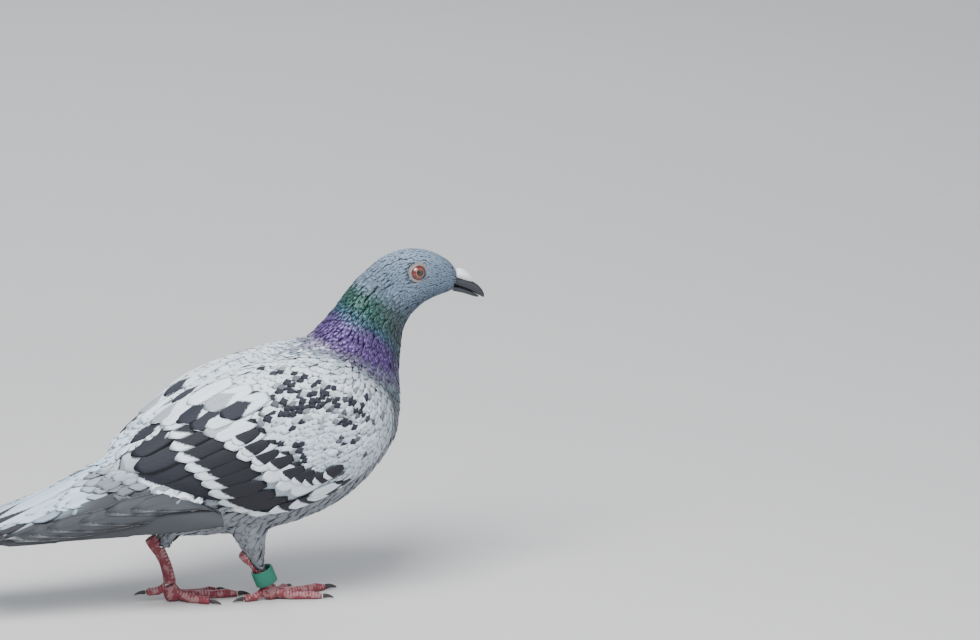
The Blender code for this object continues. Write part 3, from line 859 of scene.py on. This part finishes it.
def scatter(spacing_of, seed, density):
    """Roots spread evenly over the skin, no two closer than the spacing there."""
    draw = np.random.default_rng(seed)
    points, triangles = Bird.skin.points, Bird.skin.triangles
    corner = points[triangles]
    area = np.linalg.norm(np.cross(corner[:, 1] - corner[:, 0], corner[:, 2] - corner[:, 0]), axis=1)
    middle = corner.mean(1)
    need = area / np.maximum(spacing_of(middle), 0.5) ** 2
    total = int(need.sum() * density)
    index = draw.choice(len(area), total, p=need / need.sum())
    a, b = draw.random((2, total))
    fold = a + b > 1
    a[fold], b[fold] = 1 - a[fold], 1 - b[fold]
    chosen = corner[index]
    spots = chosen[:, 0] + (chosen[:, 1] - chosen[:, 0]) * a[:, None] \
        + (chosen[:, 2] - chosen[:, 0]) * b[:, None]
    reach = spacing_of(spots)
    tree = KDTree(total)
    for k, spot in enumerate(spots.tolist()):
        tree.insert(spot, k)
    tree.balance()
    gone = np.zeros(total, bool)
    kept = []
    for k in range(total):
        if gone[k]:
            continue
        kept.append(k)
        for _, other, _ in tree.find_range(spots[k].tolist(), reach[k]):
            gone[other] = True
    kept = np.array(kept)
    return spots[kept], index[kept]


def body_feathers(flock, roots, normals, ways, length, half, depth, looks, draw):
    """Feathers that follow the skin from root to tip and rise to the coat's depth."""
    vane = flock.vane[0]
    count, each = len(roots), len(vane)
    turn = draw.normal(0, 0.09, count)
    sideways = np.cross(normals, ways)
    ways = unit(ways * np.cos(turn)[:, None] + sideways * np.sin(turn)[:, None])
    middle, mid_normal, _ = Bird.skin.nearest(roots + ways * (length * 0.5)[:, None])
    ways_on = unit(ways - mid_normal * (ways * mid_normal).sum(1, keepdims=True))
    tip, tip_normal, _ = Bird.skin.nearest(middle + ways_on * (length * 0.5)[:, None])
    across, along, side = vane.T
    round_tip = along - 0.16 * across**2 * along**2
    share = round_tip[None, :, None]
    spine = (roots[:, None] * ((1 - share) * (1 - 2 * share)) + middle[:, None] * (4 * share * (1 - share))
             + tip[:, None] * (share * (2 * share - 1)))
    normal = unit(normals[:, None] * (1 - share) + tip_normal[:, None] * share)
    forward = unit(tip - roots)[:, None]
    sideways = unit(np.cross(normal, forward))
    lift = depth * (1 + draw.normal(0, 0.07, count))
    rise = 0.3 if flock.vane is SMALL_VANE else 0.5
    height = lift[:, None] * (1 - rise + rise * round_tip[None])
    camber = half[:, None] * 0.16 * (across**2)[None]
    thickness = bpy.context.scene.pigeon_coat.thickness / MM
    height = height - camber + side[None] * thickness / 2
    reach = half[:, None] * (across * width_share(along, False))[None]
    points = spine + normal * height[:, :, None] + sideways * reach[:, :, None]
    vane_layer = np.empty((count, each, 3))
    vane_layer[:, :, 0], vane_layer[:, :, 1] = across, along
    vane_layer[:, :, 2] = draw.random(count)[:, None]
    flock.add(points, vane=vane_layer, uv=bake_patches(roots, vane_layer),
              **{key: repeat(value, each) for key, value in looks.items()})


def drape(places, inward, surface=None):
    """Places laid on the hull, then moved along its normal."""
    surface = surface or Bird.hull
    flat = places.reshape(-1, 3)
    found, normal, _ = surface.nearest(flat)
    laid = found + normal * inward.reshape(-1, 1)
    under, way, _ = Bird.skin.nearest(laid)
    over = ((laid - under) * way).sum(1)
    laid += way * np.maximum(inward.ravel() + OVER_SKIN - over, 0)[:, None]
    return laid.reshape(places.shape)


def laid_feathers(flock, surface, tips, ways, length, half, heights, looks, draw, tilt=0.3, slant=0.0):
    """Large feathers laid on a surface: tips, the way to each root, and heights at root and tip."""
    vane = flock.vane[0]
    count, each = len(tips), len(vane)
    across, along, side = vane.T
    tips, normals, _ = surface.nearest(tips)
    ways = unit(ways - normals * (ways * normals).sum(1, keepdims=True))
    sideways = unit(np.cross(normals, ways))
    down = np.sign(-sideways[:, 2])
    down[down == 0] = 1
    sideways *= down[:, None]
    round_tip = along - (0.10 + slant * across) * across**2 * along**3
    back = (1 - round_tip)[None] * length[:, None]
    reach = half[:, None] * (across * width_share(along, True))[None]
    flat = tips[:, None] + ways[:, None] * back[:, :, None] + sideways[:, None] * reach[:, :, None]
    root, tip = heights
    height = root + (tip - root) * along + tilt * across * np.clip(along * 1.5, 0, 1)
    thickness = 0.16 * side
    inward = np.repeat((height + thickness)[None], count, 0) \
        - 0.25 * (across**2)[None] + draw.normal(0, 0.03, count)[:, None]
    points = drape(flat, inward, surface)
    vane_layer = np.empty((count, each, 3))
    vane_layer[:, :, 0], vane_layer[:, :, 1] = across, along
    vane_layer[:, :, 2] = draw.random(count)[:, None]
    flock.add(points, vane=vane_layer, uv=bake_patches(points[:, 0], vane_layer),
              **{key: repeat(value, each) for key, value in looks.items()})


def wing_places(table, surface):
    """Places on the right wing from (x, angle) pairs."""
    table = np.array(table, float)
    turn = np.radians(table[:, 1])
    way = np.stack([np.zeros(len(table)), -np.sin(turn), np.cos(turn)], 1)
    axis = np.stack([table[:, 0], np.zeros(len(table)), AXIS_HEIGHT + AXIS_RISE * table[:, 0]], 1)
    return surface.cast(axis + way * 90, -way)


def looks_for(count, base, trim, mark):
    """The colour layers of a number of like feathers."""
    dark = tuple(bpy.context.scene.pigeon_plumage.blotch)

    def full(value):
        value = np.asarray(value, float)
        return np.repeat(value[None], count, 0) if value.ndim == 1 else value

    return {"plumage": full(base), "trim": full(trim), "blotch": full(dark),
            "mark": full(mark), "sheen": np.zeros(count)}


# ---------------------------------------------------------------- operators


class PIGEON_OT_skin(bpy.types.Operator):
    """Make one skin under the whole coat"""

    bl_idname = "pigeon.skin"
    bl_label = "Skin"

    def execute(self, context):
        names = [name for group in GROUPS.values() for name in group]
        Bird.groups = [Surface.of_nodes(group) for group in GROUPS.values()]
        shape = merged(names)
        for vert in shape.verts:
            vert.co += vert.normal * (CLOSE * MM)
        skin = remeshed(shape, "skin", SKIN_VOXEL, 4)
        points, normals = points_of(skin.data), normals_of(skin.data)
        shell = Surface(points, triangles_of(skin.data), normals)
        weights = group_weights(points)
        depth = weights @ np.array(COAT_DEPTH) + CLOSE
        inside = points - normals * 0.05
        room = []
        for start, way in zip(inside.tolist(), (-normals).tolist()):
            hit = shell.tree.ray_cast(start, way)
            room.append(hit[3] if hit[0] is not None else 99.0)
        depth = np.minimum(depth, np.array(room) * SKIN_THIN_SHARE)
        points = points - normals * depth[:, None]
        skin.data.vertices.foreach_set("co", (points * MM).astype(np.float32).ravel())
        skin.data.update()
        shape = bmesh.new()
        shape.from_mesh(skin.data)
        for _ in range(3):
            bmesh.ops.smooth_vert(shape, verts=shape.verts, factor=0.5, use_axis_x=True,
                                  use_axis_y=True, use_axis_z=True)
        shape.to_mesh(skin.data)
        shape.free()
        self.unwrap(context, skin)
        points, triangles = points_of(skin.data), triangles_of(skin.data)
        Bird.skin = Surface(points, triangles, normals_of(skin.data))
        loops = np.empty(len(skin.data.loop_triangles) * 3, np.int32)
        skin.data.loop_triangles.foreach_get("loops", loops)
        uv = np.empty(len(skin.data.loops) * 2, np.float32)
        skin.data.uv_layers["OFBake"].data.foreach_get("uv", uv)
        Bird.unwrap = uv.reshape(-1, 2)[loops.reshape(-1, 3)].astype(float)
        Bird.hull = Surface.of_nodes(names)
        Bird.weights = group_weights(points)
        colour, sheen = plumage(points, Bird.weights)
        dark = blotch_amount(points) * Bird.weights[:, WING]
        tone = np.array(context.scene.pigeon_plumage.blotch)
        # Painted shade: the skin's colour is darkened to 0.8 so that the gaps between feathers read as shade.
        colour = mixed(colour, tone[None], dark * 0.6) * 0.8
        mesh = skin.data
        add_floats(mesh, "plumage", colour, "FLOAT_COLOR")
        add_floats(mesh, "trim", colour, "FLOAT_COLOR")
        add_floats(mesh, "blotch", colour, "FLOAT_COLOR")
        add_floats(mesh, "vane", np.zeros((len(points), 3)), "FLOAT_VECTOR")
        add_floats(mesh, "mark", np.zeros((len(points), 3)), "FLOAT_VECTOR")
        add_floats(mesh, "sheen", sheen * 0.5, "FLOAT")
        mesh.materials.clear()
        mesh.materials.append(plumage_material())
        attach(skin, BODY)
        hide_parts(*names)
        return {"FINISHED"}

    def unwrap(self, context, skin):
        context.view_layer.objects.active = skin
        skin.select_set(True)
        while skin.data.uv_layers:
            skin.data.uv_layers.remove(skin.data.uv_layers[0])
        skin.data.uv_layers.new(name="OFBake")
        bpy.ops.object.mode_set(mode="EDIT")
        bpy.ops.mesh.select_all(action="SELECT")
        bpy.ops.uv.smart_project(angle_limit=math.radians(66), island_margin=0.002)
        bpy.ops.object.mode_set(mode="OBJECT")
        skin.select_set(False)


def plumage_material():
    return bpy.data.materials.get("Plumage") or finish_plumage("Plumage")


class PIGEON_OT_coat(bpy.types.Operator):
    """Cover the skin with small feathers that follow the lie of each region"""

    bl_idname = "pigeon.coat"
    bl_label = "Coat"

    def execute(self, context):
        seed = context.scene.pigeon_coat.seed
        draw = np.random.default_rng(seed)
        roots, index = scatter(self.spacing, seed, 7.0)
        shares = Bird.skin.shares(roots, index)
        normals = Bird.skin.smooth_normal(roots, index)
        weights = (Bird.weights[Bird.skin.triangles[index]] * shares[:, :, None]).sum(1)
        keep = self.wanted(roots, weights)
        roots, normals, weights = roots[keep], normals[keep], weights[keep]
        ways = lie_at(roots, normals, weights)
        full = context.scene.pigeon_coat.fullness
        length = (weights @ np.array(LENGTH)) * self.scale(roots, weights) * full
        half = (weights @ np.array(HALF_WIDTH)) * self.scale(roots, weights)
        depth = weights @ np.array(COAT_DEPTH)
        length *= 1 + draw.normal(0, 0.07, len(roots))
        colour, sheen = plumage(roots + ways * (length * 0.6)[:, None], weights)
        group = weights.argmax(1)
        middle = roots + ways * (length * 0.75)[:, None]
        dark = blotch_amount(middle) * (group == WING)
        tone = 1 + draw.normal(0, 0.06, len(roots))
        colour = colour * tone[:, None]
        # Painted highlight: on the neck each feather's tip and edge take its colour brightened by the sheen
        # mask, a random share and 1.2, and its middle is darkened to 0.72, as painted sheen on the glossy
        # neck.
        painted_sheen_share = draw.random(len(roots))
        trim = colour * (1.0 + 0.9 * sheen * painted_sheen_share)[:, None]
        mark = np.zeros((len(roots), 3))
        mark[:, 0] = np.where(group == NECK, 0.30, 0.0)
        mark[:, 1] = np.where(group == NECK, 0.25, 0.0)
        trim = np.where((group == NECK)[:, None], trim * 1.2, trim)
        colour = np.where((group == NECK)[:, None], colour * 0.72, colour)
        mark[:, 2] = dark
        tint = np.array(context.scene.pigeon_plumage.blotch)
        kinds = (("coat_head", "plumage_head", (HEAD,), SMALL_VANE),
                 ("coat_neck", "plumage_neck", (NECK,), BODY_VANE),
                 ("coat_body", "plumage_grey", (TRUNK, THIGH), BODY_VANE),
                 ("coat_wing", "plumage_wing", (WING,), BODY_VANE),
                 ("coat_tail", "plumage_tail", (TAIL,), BODY_VANE))
        low = (roots[:, 2] < VENT[1]) & (np.abs(roots[:, 0] - VENT[0]) < VENT[2])
        ways[low] = unit(ways[low] + (0.0, 0.0, -0.9))
        length[low] *= 1.15
        for name, slot, groups, vane in kinds:
            chosen = np.isin(group, groups)
            flock = Flock(vane)
            looks = {"plumage": colour[chosen], "trim": trim[chosen],
                     "blotch": np.repeat(tint[None], chosen.sum(), 0),
                     "mark": mark[chosen], "sheen": sheen[chosen]}
            body_feathers(flock, roots[chosen], normals[chosen], ways[chosen], length[chosen],
                          half[chosen], depth[chosen], looks, draw)
            flock.build(name, plumage_material())
        return {"FINISHED"}

    def scale(self, places, weights):
        """Smaller feathers toward the wing's front edge, the face and the top of the breast."""
        x, z = places[:, 0], places[:, 2]
        wing = 1 - weights[:, WING] * 0.34 * step(x, -5, 62)
        face = 1 - 0.35 * step(x, 106, 126) * (weights[:, HEAD] + weights[:, NECK])
        breast = 1 - weights[:, TRUNK] * 0.38 * step(z + x * 0.5, 110, 175)
        return wing * face * breast

    def spacing(self, places):
        found, _, index = Bird.skin.nearest(places)
        shares = Bird.skin.shares(found, index)
        weights = (Bird.weights[Bird.skin.triangles[index]] * shares[:, :, None]).sum(1)
        return (weights @ np.array(SPACING)) * self.scale(places, weights)

    def wanted(self, roots, weights):
        """Leaves bare the eye, the bill's base and what the large feathers cover."""
        x, _, z = roots.T
        eye = np.hypot(x - EYE_CENTRE[0], z - EYE_CENTRE[2]) < EYE_BARE
        eye &= weights[:, HEAD] > 0.5
        beak = x > BILL_BASE
        angle = wing_angle(roots)
        group = weights.argmax(1)
        edge = np.interp(angle, ROW_EDGE[1], ROW_EDGE[0])
        under_rows = (x < edge) & (angle > 40) & np.isin(group, (WING, QUILLS))
        quill = group == QUILLS
        tail_end = (group == TAIL) & (x < -116)
        return ~(eye | beak | under_rows | quill | tail_end)


class PIGEON_OT_wing_rows(bpy.types.Operator):
    """Lay the rows of large wing feathers: secondaries, coverts, scapulars"""

    bl_idname = "pigeon.wing_rows"
    bl_label = "Wing rows"

    def execute(self, context):
        colours = context.scene.pigeon_plumage
        draw = np.random.default_rng(context.scene.pigeon_coat.seed + 1)
        wing = Surface.of_nodes(("wing_right",))
        bar, white = np.array(colours.bar), np.array(colours.mantle) * 1.05
        flock = Flock(LARGE_VANE)
        rows = (
            (SECONDARY_TIPS, 46, 7.0, (-0.5, 0.1), 14, (0.0, 0.0, 0.26, 0.30), bar * 1.5),
            (GREATER_TIPS, 38, 5.4, (-0.1, 0.6), 15, (0.16, 0.30), bar),
            (MEDIAN_TIPS, 26, 4.6, (0.3, 1.0), 16, (0.9, 0.9), bar),
            (BAR_TIPS, 17, 3.9, (0.5, 1.3), 16, (0.22, 0.22), bar),
        )
        for tips, length, half, heights, lean, ends, base in rows:
            ground = Bird.hull if tips in (SECONDARY_TIPS, GREATER_TIPS) else wing
            places = wing_places(tips, ground)
            count = len(tips)
            slope = math.radians(lean)
            way = np.repeat(np.array([[math.cos(slope), 0, math.sin(slope)]]), count, 0)
            share = np.linspace(0, 1, count)
            tip_share = np.interp(share, np.linspace(0, 1, len(ends)), ends)
            mark = np.stack([tip_share, np.zeros(count), np.zeros(count)], 1)
            lengths = length * (1 - 0.25 * share)
            laid_feathers(flock, ground, places, way, lengths, np.full(count, half), heights,
                          looks_for(count, base, white, mark), draw)
        places = wing_places(SCAPULAR_TIPS, wing)
        count = len(places)
        dark = np.maximum(blotch_amount(places), blotch_amount(places + (9.0, 0, 3.0)))
        mark = np.stack([np.zeros(count), np.zeros(count), dark], 1)
        way = np.repeat(np.array([[0.95, 0, 0.30]]), count, 0)
        laid_feathers(flock, wing, places, way, np.full(count, 30.0), np.full(count, 6.5),
                      (0.0, 0.9), looks_for(count, white, white, mark), draw)
        flock.build("wing_rows", plumage_material(), mirrored=bake_patches_left)
        return {"FINISHED"}


def bake_patches_left(points, vane):
    return bake_patches(points[:, 0], vane)


class PIGEON_OT_quills(bpy.types.Operator):
    """Lay the folded primaries"""

    bl_idname = "pigeon.quills"
    bl_label = "Primaries"

    def execute(self, context):
        colours = context.scene.pigeon_plumage
        draw = np.random.default_rng(context.scene.pigeon_coat.seed + 2)
        blade = Surface.of_nodes(("quills_right",))
        tips = np.array([(x, -60.0, z) for x, z in PRIMARY_TIPS], float)
        tips = blade.cast(tips, np.repeat(np.array([[0.0, 1.0, 0.0]]), len(tips), 0))
        count = len(tips)
        flock = Flock(LARGE_VANE)
        way = np.repeat(np.array([[0.985, 0, 0.12]]), count, 0)
        mark = np.repeat(np.array([[0.020, 0.035, 0.0]]), count, 0)
        base = np.array(colours.quill)
        shade = np.linspace(1.0, 0.75, count)[:, None]
        trim = np.repeat(np.array([[0.20, 0.21, 0.22]]), count, 0)
        for k in range(count):
            one = slice(k, k + 1)
            top = 0.9 - 0.22 * k
            laid_feathers(flock, blade, tips[one], way[one], np.array([98.0]), np.array([6.4]),
                          (top - 0.5, top), looks_for(1, base * shade[k], trim[k], mark[k]), draw,
                          slant=0.10)
        flock.build("primaries", plumage_material(), mirrored=bake_patches_left)
        return {"FINISHED"}


class PIGEON_OT_tail(bpy.types.Operator):
    """Lay the tail feathers"""

    bl_idname = "pigeon.tail"
    bl_label = "Tail"

    def execute(self, context):
        colours = context.scene.pigeon_plumage
        draw = np.random.default_rng(context.scene.pigeon_coat.seed + 3)
        tail = Surface.of_nodes(("tail",))
        flock = Flock(LARGE_VANE)
        rump, band = np.array(colours.rump), np.array(colours.band)
        for side in (1, -1):
            for k in range(6):
                out = TAIL_MIDDLE + TAIL_STEP * k
                tip = np.array([[TAIL_TIP + TAIL_CURVE * k * k, side * out, 60.0]])
                tip = tail.cast(tip, np.array([[0.0, 0.0, -1.0]]))
                way = np.array([[1.0, -side * 0.045 * k, 0.27]])
                mark = np.array([[0.30, 0.0, 0.0]])
                level = 0.5 - 0.22 * k
                laid_feathers(flock, tail, tip, way, np.array([96.0]), np.array([6.4]),
                              (level - 0.4, level), looks_for(1, rump, band, mark), draw, tilt=0.1)
        flock.build("tail_feathers", plumage_material())
        return {"FINISHED"}


class PIGEON_OT_head(bpy.types.Operator):
    """Make the eyes, lids, cere and bill"""

    bl_idname = "pigeon.head"
    bl_label = "Head"

    def execute(self, context):
        bare = context.scene.pigeon_bare
        for side, label in ((-1, "right"), (1, "left")):
            self.eye(bare, side, label)
            self.lid(bare, side, label)
        bill = finish_plain("Bill horn", bare.bill, 0.34, 500.0, 0.5, 0.00006)
        cere = finish_plain("Cere", bare.cere, 0.8, 900.0, 0.25, 0.00015)
        for name, slot, material in (("bill_upper", "bill", bill), ("bill_lower", "bill", bill),
                                     ("cere", "cere", cere)):
            shape = merged((name,))
            for vert in shape.verts:
                vert.co += vert.normal * (HORN_SWELL[slot] * MM)
            piece = remeshed(shape, name + "_horn", 0.28, 3)
            piece.data.materials.clear()
            piece.data.materials.append(material)
            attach(piece, BODY)
            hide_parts(name)
        return {"FINISHED"}

    def eye(self, bare, side, label):
        shape = bmesh.new()
        bmesh.ops.create_uvsphere(shape, u_segments=48, v_segments=28, radius=EYE_RADIUS * MM)
        centre = Vector((EYE_CENTRE[0], side * EYE_CENTRE[1], EYE_CENTRE[2])) * MM
        bmesh.ops.translate(shape, verts=shape.verts, vec=centre)
        piece = object_of(shape, f"eyeball_{label}")
        axis = Vector((EYE_AXIS[0], side * EYE_AXIS[1], EYE_AXIS[2])).normalized()
        piece.data.materials.append(finish_eye(f"Eye {label}", bare, centre, axis))
        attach(piece, BODY)
        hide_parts(f"eye_{label}")

    def lid(self, bare, side, label):
        """A ring of bare skin from the eyeball to the feathers."""
        centre = Vector((EYE_CENTRE[0], side * EYE_CENTRE[1], EYE_CENTRE[2]))
        axis = Vector((EYE_AXIS[0], side * EYE_AXIS[1], EYE_AXIS[2])).normalized()
        across = axis.cross(Vector((0, 0, 1))).normalized()
        up = across.cross(axis).normalized()
        turns, rings = 64, 7
        shape = bmesh.new()
        bmesh.ops.create_grid(shape, x_segments=turns, y_segments=rings, size=1.0)
        for vert in shape.verts:
            turn = (vert.co.x + 1) * math.pi
            share = (vert.co.y + 1) / 2
            oval = 1 - 0.06 * math.sin(turn) ** 2
            radius = (4.35 + 1.35 * share) * oval
            flat = across * (math.cos(turn) * radius) + up * (math.sin(turn) * radius)
            start = centre + flat + axis * 30
            hit = Bird.hull.tree.ray_cast(start, -axis)[0]
            on_head = (hit - centre).dot(axis) if hit is not None else 2.0
            ball = math.sqrt(max(EYE_RADIUS**2 - radius**2, 0.2)) if radius < EYE_RADIUS else 0.0
            lift = 0.22 * math.sin(math.pi * min(share * 1.6, 1.0))
            fold = 0.07 * math.sin(share * 22)
            low = max(on_head - 0.2, 0.0)
            height = (ball + 0.2) * (1 - share) ** 2 + low * (1 - (1 - share) ** 2)
            height = max(height, ball * 0.96) + lift + fold * share
            vert.co = (centre + flat + axis * height) * MM
        bmesh.ops.remove_doubles(shape, verts=shape.verts, dist=1e-6)
        bmesh.ops.recalc_face_normals(shape, faces=shape.faces)
        face = next(iter(shape.faces))
        if face.normal.dot(axis) < 0:
            bmesh.ops.reverse_faces(shape, faces=shape.faces)
        piece = object_of(shape, f"lid_{label}")
        thick = piece.modifiers.new("Thickness", "SOLIDIFY")
        thick.thickness, thick.offset = 0.35 * MM, -1.0
        piece.data.materials.append(finish_plain(f"Lid {label}", bare.lid, 0.6, 1600.0, 0.7, 0.0001))
        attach(piece, BODY)


def long_axis(points):
    """Middle and main direction of a cloud of points."""
    middle = points.mean(0)
    _, spread, ways = np.linalg.svd(points - middle, full_matrices=False)
    return middle, spread, ways


class PIGEON_OT_legs(bpy.types.Operator):
    """Make the scaled legs, the claws and the leg ring"""

    bl_idname = "pigeon.legs"
    bl_label = "Legs"

    def execute(self, context):
        bare = context.scene.pigeon_bare
        skin = finish_leg("Leg skin", bare)
        horn = finish_plain("Claw horn", bare.claw, 0.4, 700.0, 0.5, 0.00005)
        for side in ("right", "left"):
            self.leg(side, skin)
            for toe in ("inner", "middle", "outer", "hind"):
                node = f"claw_{toe}_{side}"
                piece = remeshed(merged((node,)), node + "_horn", 0.22, 2)
                piece.data.materials.clear()
                piece.data.materials.append(horn)
                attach(piece, BODY)
                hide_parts(node)
        self.ring(bare)
        return {"FINISHED"}

    def leg(self, side, material):
        toes = [f"toe_{toe}_{side}" for toe in ("inner", "middle", "outer", "hind")]
        names = [f"shank_{side}", f"foot_{side}", *toes]
        shape = merged(names)
        for vert in shape.verts:
            if vert.co.z > 0.3 * MM:
                vert.co += vert.normal * (0.22 * MM)
        piece = remeshed(shape, f"leg_{side}", 0.42, 3)
        mesh = piece.data
        points, normals = points_of(mesh), normals_of(mesh)
        parts = [Surface.of_nodes((name,)) for name in names]
        away = np.stack([part.distance(points) for part in parts], 1)
        owner = away.argmin(1)
        scute = np.zeros(len(points))
        for k, part in enumerate(parts):
            middle, _, ways = long_axis(part.points)
            along = (points - middle) @ ways[0]
            if k == 0:
                faces_front = step(normals[:, 0], -0.2, 0.5)
                period = 2.1
            elif k == 1:
                faces_front = np.full(len(points), 0.4)
                period = 1.6
            else:
                faces_front = step(normals[:, 2], -0.1, 0.5)
                period = 1.75
            ridge = np.abs(np.sin(along * math.pi / period)) ** 0.6
            pebble = 0.5 + 0.5 * fine_noise(points, 1.4)
            value = ridge * faces_front + pebble * (1 - faces_front)
            scute = np.where(owner == k, value, scute)
        lift = (scute - 0.75) * 0.30 * step(points[:, 2], 0.4, 1.5)
        points = points + normals * lift[:, None]
        points[:, 2] = np.maximum(points[:, 2], 0.02)
        mesh.vertices.foreach_set("co", (points * MM).astype(np.float32).ravel())
        mesh.update()
        add_floats(mesh, "scute", scute, "FLOAT")
        mesh.materials.clear()
        mesh.materials.append(material)
        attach(piece, BODY)
        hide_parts(*names)

    def ring(self, bare):
        """A plain closed ring, lathed round the CAD ring's own axis."""
        node = Surface.of_nodes(("leg_ring",))
        middle, spread, ways = long_axis(node.points)
        odd = int(np.argmax(np.abs(spread - np.median(spread))))
        axis = Vector(ways[odd])
        along = (node.points - middle) @ ways[odd]
        radius = np.linalg.norm(node.points - middle - along[:, None] * ways[odd][None], axis=1)
        inner, outer, half = radius.min(), radius.max(), np.abs(along).max()
        shape = bmesh.new()
        side = axis.orthogonal().normalized()
        centre = Vector(middle)
        bevel = 0.22
        profile = ((inner, half - bevel), (inner + bevel, half), (outer - bevel, half),
                   (outer, half - bevel), (outer, -half + bevel), (outer - bevel, -half),
                   (inner + bevel, -half), (inner, -half + bevel))
        verts = [shape.verts.new((centre + side * r + axis * t) * MM) for r, t in profile]
        edges = [shape.edges.new((verts[k], verts[(k + 1) % len(verts)])) for k in range(len(verts))]
        bmesh.ops.spin(shape, geom=verts + edges, cent=centre * MM, axis=axis, angle=math.tau,
                       steps=64, use_merge=True)
        bmesh.ops.remove_doubles(shape, verts=shape.verts, dist=1e-7)
        bmesh.ops.recalc_face_normals(shape, faces=shape.faces)
        piece = object_of(shape, "leg_ring_band", smooth=False)
        for polygon in piece.data.polygons:
            polygon.use_smooth = True
        material = finish_plain("Ring plastic", bare.ring, 0.42, 300.0, 0.3, 0.00004)
        piece.data.materials.append(material)
        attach(piece, BODY)
        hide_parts("leg_ring")


class PIGEON_OT_stage(bpy.types.Operator):
    """Make the floor, lights and camera"""

    bl_idname = "pigeon.stage"
    bl_label = "Stage"

    def execute(self, context):
        stage = context.scene.pigeon_stage
        shape = bmesh.new()
        bmesh.ops.create_grid(shape, x_segments=1, y_segments=1, size=6.0)
        floor = object_of(shape, "stage_floor", smooth=False)
        floor.data.materials.append(finish_plain("Stage floor", stage.floor, 0.9, 30.0, 0.03, 0.0002))
        cos_a, sin_a = math.cos(stage.azimuth), math.sin(stage.azimuth)
        cos_e, sin_e = math.cos(stage.elevation), math.sin(stage.elevation)
        right = Vector((cos_a, sin_a, 0))
        up = Vector((-sin_a * sin_e, cos_a * sin_e, cos_e))
        back = Vector((sin_a * cos_e, -cos_a * cos_e, sin_e))
        target = Vector((0.0111, 0, 0)) + right * 0.1366 + up * 0.1519
        data = bpy.data.cameras.new("Camera")
        data.lens, data.sensor_width = stage.lens, 36.0
        camera = bpy.data.objects.new("Camera", data)
        camera.matrix_world = Matrix.Translation(target + back * stage.distance) \
            @ Matrix((right, up, back)).transposed().to_4x4()
        context.scene.collection.objects.link(camera)
        context.scene.camera = camera
        lights = (("Key", (-0.55, -0.75, 1.35), stage.key, 0.9), ("Fill", (1.3, -1.2, 0.7), 6.0, 1.2),
                  ("Back", (0.2, 1.4, 1.1), 9.0, 1.0))
        for name, place, power, size in lights:
            lamp = bpy.data.lights.new(name, "AREA")
            lamp.energy, lamp.size = power, size
            light = bpy.data.objects.new(name, lamp)
            aim = Vector((0.0, 0, 0.09)) - Vector(place)
            light.matrix_world = Matrix.Translation(place) @ aim.to_track_quat("-Z", "Y").to_matrix().to_4x4()
            context.scene.collection.objects.link(light)
        world = bpy.data.worlds.new("Soft world")
        world.use_nodes = True
        background = world.node_tree.nodes["Background"]
        background.inputs["Color"].default_value = (0.80, 0.88, 1.0, 1)
        background.inputs["Strength"].default_value = 0.55
        context.scene.world = world
        return {"FINISHED"}


class PIGEON_PT_panel(bpy.types.Panel):
    """Lists the steps that build the pigeon"""

    bl_idname = "PIGEON_PT_panel"
    bl_label = "Pigeon"
    bl_space_type = "VIEW_3D"
    bl_region_type = "UI"
    bl_category = "Pigeon"

    def draw(self, context):
        for operator in OPERATORS:
            self.layout.operator(operator.bl_idname)


GROUP_CLASSES = (PlumageColours, BareColours, CoatSizes, StageSettings)
OPERATORS = (PIGEON_OT_skin, PIGEON_OT_coat, PIGEON_OT_wing_rows, PIGEON_OT_quills,
             PIGEON_OT_tail, PIGEON_OT_head, PIGEON_OT_legs, PIGEON_OT_stage)
SETTINGS = {"pigeon_plumage": PlumageColours, "pigeon_bare": BareColours,
            "pigeon_coat": CoatSizes, "pigeon_stage": StageSettings}


def register():
    for kind in (*GROUP_CLASSES, *OPERATORS, PIGEON_PT_panel):
        bpy.utils.register_class(kind)
    for name, kind in SETTINGS.items():
        setattr(bpy.types.Scene, name, PointerProperty(type=kind))


def unregister():
    for name in SETTINGS:
        delattr(bpy.types.Scene, name)
    for kind in reversed((*GROUP_CLASSES, *OPERATORS, PIGEON_PT_panel)):
        bpy.utils.unregister_class(kind)


def main():
    register()
    bpy.ops.pigeon.skin()
    bpy.ops.pigeon.coat()
    bpy.ops.pigeon.wing_rows()
    bpy.ops.pigeon.quills()
    bpy.ops.pigeon.tail()
    bpy.ops.pigeon.head()
    bpy.ops.pigeon.legs()
    bpy.ops.pigeon.stage()


if __name__ == "__main__":
    main()
